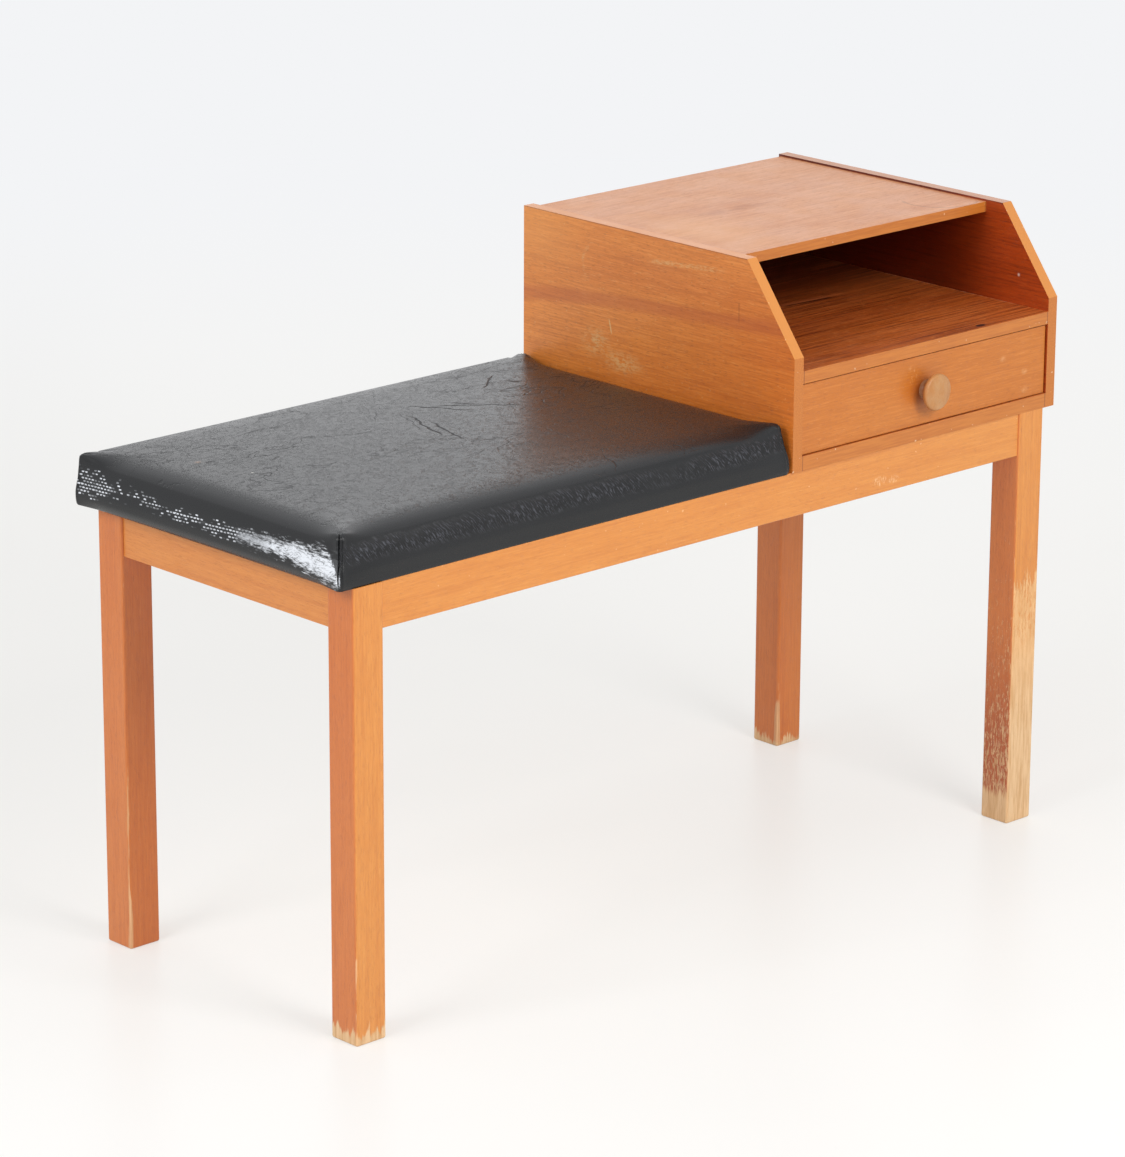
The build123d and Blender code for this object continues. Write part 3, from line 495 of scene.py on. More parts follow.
def panelMarksAndShade(finish, colour):
    wear = panelWearAndShade
    x, y, z = finish.axes(finish.point)
    within = finish.fade(abs(x - cabinet["middle"]), cabinet["inside"] + 0.001, cabinet["inside"])
    outer = 1 - within
    left = outer * (x < cabinet["middle"])
    # the left side panel is deeper in colour towards its front and its lower edge
    deep = finish.fade(z + y * 0.42, 0.575, 0.415)
    colour = finish.tint(outer * deep, colour, wear["deep"])
    faded = finish.fade(y, 0.07, 0.17) * finish.fade(z, 0.52, 0.58)
    colour = finish.mix(outer * faded * 0.3, colour, wear["faded"])
    colour = finish.mix(finish.fade(z, 0.6016, 0.6026) * 0.5, colour, wear["topEdge"])
    # a broad redder band slants along it
    wander = finish.noise(9.0, (1, 0.3, 1), detail=3.0)
    fromBand = abs(z - wear["bandHeight"] + y * wear["bandFall"] + (wander - 0.5) * 0.02)
    colour = finish.mix(left * finish.fade(fromBand, 0.011, 0.003) * 0.45, colour, wear["band"])
    # the inner faces have kept their deeper red
    colour = finish.tint(within, colour, wear["inside"])
    streaks = finish.noise(420.0, stretched(1, 0.03), detail=4.0, rough=0.7, shift=(6, 2, 1))
    colour = finish.mix(within * finish.fade(streaks, 0.48, 0.66) * 0.4, colour, wear["insideStreak"])
    # painted shade: the inner faces are made darker further back in the compartment
    shadeFarIn = within * finish.fade(y, -0.125, -0.02)
    colour = finish.tint(shadeFarIn * 0.8, colour, wear["shadeFarIn"])
    # pale marks: two scuffed places, a high one, a curved one and a scratch
    fine = finish.noise(520.0, (1, 0.35, 1), detail=4.0, rough=0.7)
    cloud = finish.noise(90.0, detail=4.0, rough=0.65)
    scuff = finish.most(*[finish.near(*place) for place in wear["scuffed"]])
    scuff = scuff * finish.fade(cloud * 0.6 + fine, 0.68, 0.92)
    highY, highZ = wear["high"]
    high = finish.fade(abs(z - highZ + (y - highY) * 0.079), 0.0036, 0.0006)
    high = high * finish.fade(abs(y - highY), 0.055, 0.035) * finish.fade(fine, 0.42, 0.62)
    curved = finish.vector("LENGTH", finish.vector("SUBTRACT", finish.point, wear["curved"]), outlet=1)
    curved = finish.fade(abs(curved - wear["curvedRadius"]), 0.0024, 0.0006) * (y > wear["curvedFrom"])
    curved = curved * finish.fade(fine, 0.4, 0.65) * 0.4
    scratchY, scratchZ = wear["scratch"]
    scratch = finish.fade(abs(y - scratchY - (z - scratchZ) * 0.26), 0.0011, 0.0004)
    scratch = scratch * finish.fade(abs(z - scratchZ), 0.0085, 0.004)
    dust = finish.noise(300.0, detail=2.0) + finish.fade(z, 0.52, 0.47, 0.0, 0.03)
    dust = finish.fade(dust, 0.7, 0.76) * 0.35
    marks = finish.most(scuff * 0.75, high * 0.6, scratch, curved, dust)
    colour = finish.mix(marks * left, colour, wear["mark"])
    # a thin dark line, and a white speck inside the right side panel
    lineY, lineZ = wear["line"]
    line = finish.fade(abs(y - lineY), 0.0014, 0.0004) * finish.fade(abs(z - lineZ), 0.0115, 0.007)
    colour = finish.mix(left * line * 0.25, colour, wear["lineColour"])
    return finish.mix(finish.near(*wear["speck"]) * 0.9, colour, wear["speckColour"])


topWear = {
    "smudge": ((0.236, 0.049, 0.601), (0.06, 0.014, 0.02)), "smudgeColour": paint(176, 104, 60),
    "pale": ((0.15, 0.0, 0.601), (0.07, 0.13, 0.02)), "paleColour": paint(238, 176, 120),
    "ring": (0.412, -0.052, 0.601), "ringRadius": 0.037, "ringColour": paint(130, 78, 56),
}


def topMarks(finish, colour):
    wear = topWear
    cloud = finish.noise(70.0, stretched(0, 0.4), detail=3.0)
    smudge = finish.near(*wear["smudge"]) * finish.fade(cloud, 0.3, 0.55)
    colour = finish.mix(smudge * 0.75, colour, wear["smudgeColour"])
    colour = finish.mix(finish.near(*wear["pale"]) * 0.4, colour, wear["paleColour"])
    # a faint part of a ring that a cup or lamp left
    x, y = finish.axes(finish.point)[:2]
    ringX, ringY = wear["ring"][:2]
    ring = finish.vector("LENGTH", finish.vector("SUBTRACT", finish.point, wear["ring"]), outlet=1)
    nearer = finish.fade((x - ringX) * 0.69 + (y - ringY) * 0.73, -0.004, -0.014)
    ring = finish.fade(abs(ring - wear["ringRadius"]), 0.0018, 0.0002) * nearer
    return finish.mix(ring * 0.4, colour, wear["ringColour"])


shelfWearAndShade = {
    "back": paint(80, 24, 8), "paleStreak": paint(206, 118, 62), "darkStreak": paint(84, 28, 8),
    "crack": (0.2966, 0.0084), "crackEnds": (0.036, 0.024), "crackColour": paint(22, 8, 5),
    "crackLight": paint(176, 96, 62),
    "knot": ((0.3505, -0.1648, 0.508), (0.008, 0.0046, 0.02)), "knotColour": paint(40, 12, 6),
    "dust": (0.4352, 0.4372), "dustMiddle": -0.038, "dustColour": paint(216, 150, 116),
}


def shelfMarksAndShade(finish, colour):
    wear = shelfWearAndShade
    x, y = finish.axes(finish.point)[:2]
    # painted shade darkening it towards the back, with a fine crack, a knot and dust along the right joint
    colour = finish.mix(finish.fade(y, -0.05, 0.1) * 0.8, colour, wear["back"])
    streaks = finish.noise(380.0, stretched(0, 0.014), detail=3.0, rough=0.6, shift=(7, 1, 3))
    colour = finish.mix(finish.fade(streaks, 0.53, 0.64) * 0.5, colour, wear["paleStreak"])
    colour = finish.mix(finish.fade(streaks, 0.46, 0.36) * 0.5, colour, wear["darkStreak"])
    crackX, crackY = wear["crack"]
    fromCrack = y - crackY + (x - crackX) * 0.07
    ends = finish.fade(abs(x - crackX), *wear["crackEnds"])
    light = finish.fade(abs(fromCrack - 0.005), 0.003, 0.001) * ends
    colour = finish.mix(light * 0.5, colour, wear["crackLight"])
    crack = finish.fade(abs(fromCrack), 0.0024, 0.0008) * ends
    colour = finish.mix(crack * 0.85, colour, wear["crackColour"])
    knot = finish.near(*wear["knot"])
    colour = finish.mix(finish.fade(knot, 0.03, 0.3), colour, wear["knotColour"])
    dust = finish.fade(x, *wear["dust"]) * finish.fade(abs(y - wear["dustMiddle"]), 0.1, 0.08)
    dust = dust * finish.fade(finish.noise(200.0, detail=3.0), 0.4, 0.6)
    return finish.mix(dust * 0.5, colour, wear["dustColour"])


drawerWear = {
    "handled": ((0.256, -0.17, 0.464), (0.03, 0.02, 0.026)), "handledColour": paint(190, 98, 28),
    "dark": ((0.2655, -0.17, 0.461), (0.019, 0.02, 0.021)), "darkColour": paint(112, 44, 24),
    "nicks": ((0.2525, -0.17, 0.479), (0.01, 0.02, 0.012)),
    "stains": ((0.378, -0.17, 0.4715), (0.4087, -0.17, 0.4546), (0.4096, -0.17, 0.4363)),
    "stainReach": (0.006, 0.02, 0.0045), "stainColour": paint(240, 196, 140),
}


def drawerMarks(finish, colour):
    wear = drawerWear
    # darkened by hands round the knob, with pale scratches in it
    colour = finish.mix(finish.near(*wear["handled"]) * 0.55, colour, wear["handledColour"])
    colour = finish.mix(finish.near(*wear["dark"]) * 0.6, colour, wear["darkColour"])
    fine = finish.noise(420.0, (1, 1, 0.5), detail=4.0, rough=0.7)
    nicks = finish.near(*wear["nicks"]) * finish.fade(fine, 0.54, 0.62)
    # pale stains at the right
    cloud = finish.fade(finish.noise(160.0, detail=3.0), 0.3, 0.6)
    stains = [finish.near(place, wear["stainReach"]) * cloud * 0.32 for place in wear["stains"]]
    return finish.mix(finish.most(nicks * 0.4, *stains), colour, wear["stainColour"])


woods = {
    "legs": stainedBeech("stained beech legs", 2, wear=wornAndShadedLegs),
    "longRails": stainedBeech("stained beech rails along X", 0, wear=wornRails),
    "endRails": stainedBeech("stained beech rails along Y", 1, sideTint=0.25),
    "sides": teak("teak side panels", 1, 0, {"rightRim": paint(186, 122, 84)}, panelMarksAndShade),
    "top": teak("teak top", 0, 2, {
        "bandDepth": 0.2, "fibreDepth": 0.3, "fleckDepth": 0.3, "poreDepth": 0.4, "coat": 0.0,
        "pale": paint(222, 156, 108), "mid": paint(211, 143, 97), "light": paint(236, 180, 132),
    }, topMarks),
    "shelf": teak("teak shelf", 0, 2, {
        "bands": 260.0, "bandDepth": 0.85, "pale": paint(206, 110, 42), "mid": paint(186, 90, 28),
        "dark": paint(110, 40, 12), "light": paint(232, 142, 76), "fleckDepth": 0.6,
    }, shelfMarksAndShade),
    "drawer": teak("teak drawer front", 0, 1, {
        "bandDepth": 0.14, "fibreDepth": 0.2, "fleckDepth": 0.2, "poreDepth": 0.3,
        "pale": paint(205, 123, 41), "mid": paint(196, 112, 34), "dark": paint(160, 84, 28),
    }, drawerMarks),
}
dress(woods["legs"], "leg_front_left", "leg_front_right", "leg_back_left", "leg_back_right")
dress(woods["longRails"], "front_rail", "back_rail")
dress(woods["endRails"], "left_end_rail", "right_end_rail")
dress(woods["sides"], "left_side_panel", "right_side_panel")
dress(woods["top"], "cabinet_top")
dress(woods["shelf"], "cabinet_shelf", "cabinet_bottom")
dress(woods["drawer"], "drawer_front")
print("stained and veneered woods made")

bareLook = dict(
    beechLook, pale=paint(226, 190, 146), mid=paint(216, 176, 130), dark=paint(184, 138, 92),
    light=paint(236, 204, 164), poreColour=paint(170, 122, 78), gloss=0.6,
)
thinBoard = {"pale": paint(196, 150, 104), "mid": paint(182, 134, 88), "insideShade": paint(142, 84, 66)}
drawerWood = {"pale": paint(220, 178, 128), "mid": paint(206, 160, 108)}
plies = {"broad": 7.0, "bandDepth": 0.25, "thick": 0.0024, "darkPly": paint(160, 112, 70), "gloss": 0.65}


def bareWood(name, axis, changes=None):
    finish = Finish(name)
    look = dict(bareLook, **(changes or {}))
    colour, height = grain(finish, look, axis)
    return finish.surface(colour, look["gloss"], height, 0.0003)


def backBoard(name):
    # bare behind, with painted shade on the side that shows through the compartment
    finish = Finish(name)
    look = dict(bareLook, **thinBoard)
    colour, height = grain(finish, look, 0)
    inside = finish.fade(finish.axes(finish.normal)[1], -0.6, -0.9)
    return finish.surface(finish.tint(inside, colour, look["insideShade"]), look["gloss"], height, 0.0003)


def plywood(name):
    finish = Finish(name)
    look = dict(bareLook, **plies)
    colour, height = grain(finish, look, 0)
    edge = finish.fade(abs(finish.axes(finish.normal)[2]), 0.6, 0.4)
    z = finish.axes(finish.point)[2]
    dark = finish.math("PINGPONG", z, look["thick"]) / look["thick"] > 0.5
    colour = finish.mix(edge * dark * 0.6, colour, look["darkPly"])
    return finish.surface(colour, look["gloss"], height, 0.0003)


dress(bareWood("bare beech along Y", 1),
      "cross_rail", "rail_dowels", "drawer_runner_left", "drawer_runner_right")
dress(bareWood("bare beech blocks", 0), "corner_block_front_left", "corner_block_front_right",
      "corner_block_back_left", "corner_block_back_right", "cabinet_dowels", "drawer_dowels")
dress(plywood("plywood"), "seat_board")
dress(backBoard("cabinet back board"), "cabinet_back")
dress(bareWood("thin board", 0, thinBoard), "drawer_bottom")
dress(bareWood("drawer sides", 1, drawerWood), "drawer_side_left", "drawer_side_right")
dress(bareWood("drawer back", 0, drawerWood), "drawer_back")


knobLook = dict(
    beechLook, pale=paint(192, 132, 72), mid=paint(178, 116, 58), dark=paint(146, 86, 42),
    light=paint(206, 152, 94), broad=40.0, bandDepth=0.12, fibreDepth=0.12,
    rubbed=paint(192, 150, 104), neck=paint(140, 82, 44), neckAt=(-0.184, -0.178), gloss=0.42, coat=0.15,
)


def turnedKnob():
    finish = Finish("turned knob")
    look = knobLook
    colour, height = grain(finish, look, 2)
    # handling has rubbed the face to a greyish tan; the neck is painted darker as shade under the face
    face = finish.fade(finish.axes(finish.normal)[1], -0.6, -0.9)
    rub = finish.fade(finish.noise(110.0, (1, 1, 0.5), detail=4.0, rough=0.65), 0.35, 0.7)
    colour = finish.mix(face * rub * 0.6, colour, look["rubbed"])
    neck = finish.fade(finish.axes(finish.point)[1], *look["neckAt"])
    colour = finish.mix(neck * 0.6, colour, look["neck"])
    coat = {"Coat_Weight": look["coat"], "Coat_Roughness": 0.25}
    return finish.surface(colour, look["gloss"], height, 0.0003, **coat)


dress(turnedKnob(), "drawer_knob")


steelLook = {"bright": paint(176, 174, 170), "dull": paint(150, 148, 144), "gloss": 0.35}


def steel():
    finish = Finish("steel")
    brushed = finish.noise(900.0, detail=2.0)
    colour = finish.mix(finish.fade(brushed, 0.3, 0.7), steelLook["bright"], steelLook["dull"])
    return finish.surface(colour, steelLook["gloss"] + brushed * 0.15, Metallic=1.0)


dress(steel(), "seat_staples", "seat_screws", "cabinet_screws", "back_pins", "runner_screws",
      "drawer_pins", "knob_screw")
print("bare woods, knob and steel made")


# seat cushion

coverBox, overBoard = box("seat_cover"), box("seat_board", 0.004)
cushionLook = {
    # corners before the sides are drawn in, 4 mm past the board
    "low": (*overBoard[0][:2], coverBox[0][2]),
    "high": (*overBoard[1][:2], coverBox[1][2]),
    "cuts": (200, 140, 26),
    "crowding": 0.8,  # of the mesh lines towards the corners
    # the outline of a side, and of a corner: way over the box from its top edge, inset and height in mm
    "profile": [
        (-34, 34, 46.5), (-26, 26.2, 46.3), (-18, 18.9, 45.5), (-10, 12.2, 43.6), (-4, 8.0, 41.3),
        (0, 5.6, 39.4), (7, 2.8, 34.4), (14, 0.9, 28.6), (21, 0.0, 22.2), (29, 0.0, 15.0),
        (36, 0.2, 9.0), (41, 0.4, 4.8), (44, 0.5, 1.6), (46.5, 0.9, 0.0),
    ],
    "cornerProfile": [
        (-34, 34, 46.6), (-26, 26.2, 46.8), (-18, 18.6, 47.1), (-10, 11.8, 47.2), (-4, 7.8, 46.6),
        (0, 6.0, 44.6), (7, 4.9, 38.6), (14, 3.8, 31.6), (21, 2.5, 24.0), (29, 1.1, 15.6),
        (36, 0.4, 8.8), (41, 0.2, 4.2), (44, 0.8, 0.9), (46.5, 3.0, 0.0),
    ],
    "cornerReach": 0.022,
    "backFull": 0.85,  # the back edge is nearly as full as the corners
    "backFade": 0.02,
    "farCorner": 0.6,  # share by which the insets at the back are smaller
    "cornerRound": 0.0045,
    "drawIn": 0.0012,
    "crown": 0.003,
    "tuck": {"depth": 0.0042, "height": 0.009, "reach": 0.03},  # of the lower edge under the left end
    "dent": {"depth": 0.0007, "height": 0.0225, "width": 0.0045, "sharp": 0.004, "reach": 0.03},
    "pleat": {
        "at": 0.0016, "apart": 0.0016, "width": 0.0009, "depth": 0.0022,  # of its two grooves
        "ridge": 0.0009, "foldWidth": 0.0008, "ridgeAt": 0.0045, "ridgeWidth": 0.0014,
        "reach": 0.014, "foot": 0.012, "topInset": 0.014, "topFade": 0.006, "share": 0.7,
    },
    "pucker": {
        "waves": 12, "turn": 0.8, "at": 0.009, "width": 0.007, "depth": 0.0007, "low": 0.034, "fade": 0.008,
    },
    "window": ((-0.4035, -0.142), (0.055, 0.145)),  # in the turned-in flange
    "flange": 0.001,
    "board": box("seat_board", 0.0002),
    "cloth": {
        "cuts": (90, 60, 9), "pressure": 3.0, "frames": 20, "slack": -0.004,
        "quality": 6, "mass": 0.3, "stretch": 18, "shear": 8, "bend": 0.8,
        "heldFoot": 0.006, "heldInward": 0.01, "heldBelow": 0.43,
        "cap": 0.0012, "stillFoot": 0.014, "stillFade": 0.012,
    },
    "creaseWidth": 0.0018, "faintWidth": 0.0012,
    "creases": [
        ((-0.1337, 0.1053), (-0.0928, 0.0410)), ((-0.0987, 0.0845), (-0.0765, 0.0589)),
        ((-0.1192, 0.0867), (-0.0483, 0.0321)), ((-0.1510, 0.0510), (-0.1751, -0.0268)),
        ((-0.1525, 0.0791), (-0.1818, -0.0052)), ((0.0086, 0.1382), (-0.0408, 0.0982)),
        ((-0.0005, 0.1123), (0.0035, 0.0945)),
    ],
    "faintCreases": [
        ((-0.1141, -0.0363), (-0.1480, -0.0470)), ((-0.1409, -0.0443), (-0.1800, -0.0740)),
        ((-0.0906, -0.0370), (-0.0969, -0.0843)), ((-0.1518, 0.0953), (-0.1837, 0.0158)),
        ((-0.1636, 0.1104), (-0.1942, 0.0726)), ((-0.2707, 0.0025), (-0.2523, -0.0267)),
    ],
    # the rubbed band from the near corner (0) to the far one (1), as shares of the height
    "worn": {
        "centre": [
            (0.0, 0.36), (0.15, 0.46), (0.33, 0.46), (0.62, 0.45), (0.78, 0.53), (0.86, 0.48), (1.0, 0.47),
        ],
        "reach": [
            (0.0, 0.5), (0.05, 0.44), (0.15, 0.27), (0.33, 0.2), (0.55, 0.14), (0.69, 0.16), (0.77, 0.12),
            (0.86, 0.22), (0.92, 0.32), (1.0, 0.36),
        ],
        "amount": [
            (0.0, 1.0), (0.15, 0.95), (0.33, 0.85), (0.46, 0.75), (0.6, 0.66), (0.7, 0.5), (0.77, 0.2),
            (0.82, 0.32), (0.88, 0.8), (0.96, 0.86), (1.0, 0.2),
        ],
    },
    "wornEnd": 0.02, "keptCorner": (0.0042, 0.005),  # from the lowest corner
    "holds": {"from": -0.17, "to": -0.14, "slope": 1.15, "height": (0.4255, 0.4285)},
    "dot": (0.0046, 0.0028),  # spacing of the woven dots, along Y and Z
    "sideBand": {"height": 0.4425, "wander": 0.012, "reach": (0.0105, 0.004)},
    "paintedSheenFrom": (0.06, -0.04),  # X
    "scuff": ((-0.3899, 0.0863, 0.463), (0.006, 0.005, 0.02)), "scuffColour": paint(120, 92, 70),
    "speck": ((-0.3773, 0.0271, 0.463), (0.002, 0.002, 0.02)), "speckColour": paint(215, 212, 206),
    "vinyl": paint(18, 19, 21), "dusty": paint(25, 26, 28), "paintedSheen": paint(36, 37, 39),
    "creaseShade": paint(8, 8, 9), "troughShade": paint(4, 5, 9), "rubbed": paint(92, 94, 102),
    "backing": paint(228, 232, 238),
}


def boxGrid(cuts):
    bm = bmesh.new()
    bmesh.ops.create_cube(bm, size=2)
    for axis, count in enumerate(cuts):
        edges = [e for e in bm.edges if abs(e.verts[0].co[axis] - e.verts[1].co[axis]) > 0.001]
        bmesh.ops.subdivide_edges(bm, edges=edges, cuts=count - 1, use_grid_fill=True)
    return bm


def smoothRow(rows, column, at):
    # smooth curve through one column of the rows
    places, values = [np.array([row[i] for row in rows], float) for i in (0, column)]
    at = np.clip(at, places[0], places[-1])
    slopes = np.gradient(values, places)
    index = np.clip(np.searchsorted(places, at) - 1, 0, len(places) - 2)
    width = places[index + 1] - places[index]
    t = unit((at - places[index]) / width)
    a, b = values[index], values[index + 1]
    sa, sb = slopes[index] * width, slopes[index + 1] * width
    return a + t * (sa + t * (3 * (b - a) - 2 * sa - sb + t * (2 * (a - b) + sa + sb)))


def hump(distance, width):
    return np.exp(-(distance / width) ** 2)


def unit(value):
    return np.clip(value, 0, 1)


def cushionForm(co, spaced, look):
    # where each point of the cube's grid goes on the cushion
    low, high = np.array(look["low"]), np.array(look["high"])
    middle, half = (low + high) / 2, (high - low) / 2
    tall = high[2] - low[2]
    x, y = half[0] * spaced(co[:, 0]), half[1] * spaced(co[:, 1])
    z = half[2] * (co[:, 2] + 1)
    top, under = co[:, 2] > 0.999, co[:, 2] < -0.999
    fromX, fromY = half[0] - abs(x), half[1] - abs(y)
    inward = np.minimum(fromX, fromY)
    nearCorner = hump(abs(fromX - fromY), look["cornerReach"])
    backEdge = look["backFull"] * (y > 0) * unit((fromX - fromY) / look["backFade"])
    nearCorner = np.maximum(nearCorner, backEdge)
    way = np.where(top, -inward, tall - z) * 1000
    inset, height = [
        ((1 - nearCorner) * smoothRow(look["profile"], column, way)
         + nearCorner * smoothRow(look["cornerProfile"], column, way)) / 1000 for column in (1, 2)
    ]
    start = look["profile"][0][0]
    inset = inset * (1 - look["farCorner"] * nearCorner * (y > 0) * unit(1 - way / start))
    flatTop = top & (way < start)
    inset = np.where(flatTop, inward, inset)
    height = np.where(flatTop, tall, height)
    inset = np.where(under, look["profile"][-1][1] / 1000 + inward, inset)
    height = np.where(under, 0.0, height)
    ringX, ringY = half[0] - inset, half[1] - inset
    oldInset = np.where(top | under, inward, 0)
    x = np.where(flatTop, x, x * ringX / np.maximum(half[0] - oldInset, 1e-6))
    y = np.where(flatTop, y, y * ringY / np.maximum(half[1] - oldInset, 1e-6))
    # round the corners of each ring
    turn = look["cornerRound"]
    overX, overY = abs(x) - (ringX - turn), abs(y) - (ringY - turn)
    corner = (overX > 0) & (overY > 0)
    shrink = np.where(corner, np.maximum(overX, overY) / np.maximum(np.hypot(overX, overY), 1e-9), 1.0)
    x = np.where(corner, np.sign(x) * (ringX - turn + overX * shrink), x)
    y = np.where(corner, np.sign(y) * (ringY - turn + overY * shrink), y)
    # sides drawn in between the corners, crowned top
    alongX, alongY = x / half[0], y / half[1]
    x = x - np.sign(x) * look["drawIn"] * (1 - alongY ** 2) * abs(alongX) ** 6
    y = y - np.sign(y) * look["drawIn"] * (1 - alongX ** 2) * abs(alongY) ** 6
    height = height + look["crown"] * (height / tall) ** 4 * (1 - alongX ** 2) * (1 - alongY ** 2)
    # the left end is tucked under between its corners
    toEnd, toSide = half[0] + x, half[1] - abs(y)
    tuck = look["tuck"]
    pushed = tuck["depth"] * unit(1 - height / tuck["height"]) ** 1.6 * unit(1 - toEnd / tuck["reach"])
    x = x + pushed * unit(toSide / tuck["reach"]) ** 0.8
    # a soft dent along the middle of the sides
    outX, outY = half[0] - inset - abs(x), half[1] - inset - abs(y)
    dent = look["dent"]
    pressed = dent["depth"] * hump(height - dent["height"], dent["width"])
    x = x - np.sign(x) * pressed * unit(1 - outX / dent["sharp"]) * unit(outY / dent["reach"])
    y = y - np.sign(y) * pressed * unit(1 - outY / dent["sharp"]) * unit(outX / dent["reach"])
    # a pleat down each corner: two grooves, the fold between them, and puckers above
    pleat = look["pleat"]
    across = outX - outY - pleat["at"]
    grooves = [hump(across + side * pleat["apart"], pleat["width"]) for side in (-1, 1)]
    ridges = hump(across, pleat["foldWidth"]) + hump(abs(across) - pleat["ridgeAt"], pleat["ridgeWidth"])
    deep = pleat["depth"] * sum(grooves) - pleat["ridge"] * ridges
    deep = deep * unit(1 - (outX + outY) / pleat["reach"]) * unit(height / pleat["foot"]) * pleat["share"]
    tip = unit((pleat["topInset"] - inset) / pleat["topFade"])
    x, y = x - np.sign(x) * deep * tip, y - np.sign(y) * deep * tip
    pucker = look["pucker"]
    wave = np.cos(np.arctan2(outY, outX) * pucker["waves"] + np.sign(x) * pucker["turn"])
    wave = wave * hump(np.hypot(outX, outY) - pucker["at"], pucker["width"])
    height = height + pucker["depth"] * wave * unit((height - pucker["low"]) / pucker["fade"]) * tip
    return np.stack([middle[0] + x, middle[1] + y, low[2] + height], 1)


def makeCushion(name, cuts, crowd, look):
    def spaced(t):
        return t * (1 - crowd) + crowd * np.sin(t * math.pi / 2)

    bm = boxGrid(cuts)
    low, high = Vector(look["low"]), Vector(look["high"])
    middle, half = (low + high) / 2, (high - low) / 2
    # open the underside inside the turned-in flange
    (left, near), (right, far) = look["window"]
    inside = []
    for face in bm.faces:
        centre = face.calc_center_median()
        x, y = middle.x + half.x * spaced(centre.x), middle.y + half.y * spaced(centre.y)
        if centre.z < -0.999 and left < x < right and near < y < far:
            inside.append(face)
    bmesh.ops.delete(bm, geom=inside, context="FACES")
    places = cushionForm(np.array([v.co for v in bm.verts]), spaced, look)
    for vert, place in zip(bm.verts, places):
        vert.co = place
    # close the form round the board
    rim = [e for e in bm.edges if e.is_boundary]
    board = [Vector((*corner[:2], 0)) for corner in look["board"]]
    grow = Vector(((board[1].x - board[0].x) / (right - left), (board[1].y - board[0].y) / (far - near)))
    centre, opening = (board[0] + board[1]) / 2, Vector(((left + right) / 2, (near + far) / 2))

    def raised(p):
        return Vector((p.x, p.y, low.z + look["flange"]))

    def widened(p):
        return centre + Vector(((p.x - opening.x) * grow.x, (p.y - opening.y) * grow.y, p.z))

    def closed(p):
        return Vector((p.x, p.y, look["board"][1][2]))

    for move in (raised, widened, closed):
        made = bmesh.ops.extrude_edge_only(bm, edges=rim)["geom"]
        for vert in (v for v in made if isinstance(v, bmesh.types.BMVert)):
            vert.co = move(vert.co)
        rim = [e for e in made if isinstance(e, bmesh.types.BMEdge) and e.is_boundary]
    lid = bmesh.ops.edgeloop_fill(bm, edges=rim)["faces"]
    bmesh.ops.poke(bm, faces=lid)
    bmesh.ops.recalc_face_normals(bm, faces=bm.faces)
    for face in bm.faces:
        face.smooth = True
    data = bpy.data.meshes.new(name)
    bm.to_mesh(data)
    bm.free()
    piece = bpy.data.objects.new(name, data)
    bpy.context.scene.collection.objects.link(piece)
    return piece


def swell(piece, look):
    # the cover is blown up as cloth on an even mesh, and the fine mesh follows it
    settings = look["cloth"]
    sheet = makeCushion("cover_cloth", settings["cuts"], 0.0, look)
    held = sheet.vertex_groups.new(name="held")
    low, high = Vector(look["low"]), Vector(look["high"])
    for vert in sheet.data.vertices:
        x, y, z = vert.co
        inward = min(x - low.x, high.x - x, y - low.y, high.y - y)
        onBoard = inward > settings["heldInward"] and z < settings["heldBelow"]
        held.add([vert.index], float(z < low.z + settings["heldFoot"] or onBoard), "REPLACE")
    cover = sheet.modifiers.new("cover", "CLOTH")
    cloth = cover.settings
    cloth.quality, cloth.mass = settings["quality"], settings["mass"]
    cloth.tension_stiffness = cloth.compression_stiffness = settings["stretch"]
    cloth.shear_stiffness, cloth.bending_stiffness = settings["shear"], settings["bend"]
    cloth.use_pressure, cloth.uniform_pressure_force = True, settings["pressure"]
    cloth.shrink_min = settings["slack"]
    cloth.vertex_group_mass = "held"
    cloth.effector_weights.gravity = 0
    cover.collision_settings.use_collision = False
    follow = piece.modifiers.new("follow", "SURFACE_DEFORM")
    follow.target = sheet
    scene = bpy.context.scene
    scene.frame_set(1)
    with bpy.context.temp_override(object=piece, active_object=piece, selected_objects=[piece]):
        bpy.ops.object.surfacedeform_bind(modifier="follow")
    print("cover bound:", follow.is_bound)
    for step in range(1, settings["frames"] + 1):
        scene.frame_set(step)
    scene.view_layers[0].update()
    moved = piece.evaluated_get(bpy.context.evaluated_depsgraph_get()).data
    before, after = [np.empty(len(piece.data.vertices) * 3) for _ in range(2)]
    piece.data.vertices.foreach_get("co", before)
    moved.vertices.foreach_get("co", after)
    before, after = before.reshape(-1, 3), after.reshape(-1, 3)
    move = after - before
    size = np.linalg.norm(move, axis=1, keepdims=True)
    print("cover moved by up to", round(float(size.max()) * 1000, 1), "mm before the cap")
    move = move * settings["cap"] * np.tanh(size / settings["cap"]) / np.maximum(size, 1e-9)
    # the board holds the lower part
    move = move * unit((before[:, 2:] - low.z - settings["stillFoot"]) / settings["stillFade"])
    piece.modifiers.remove(follow)
    piece.data.vertices.foreach_set("co", (before + move).ravel())
    piece.data.update()
    data = sheet.data
    bpy.data.objects.remove(sheet)
    bpy.data.meshes.remove(data)
    scene.frame_set(1)


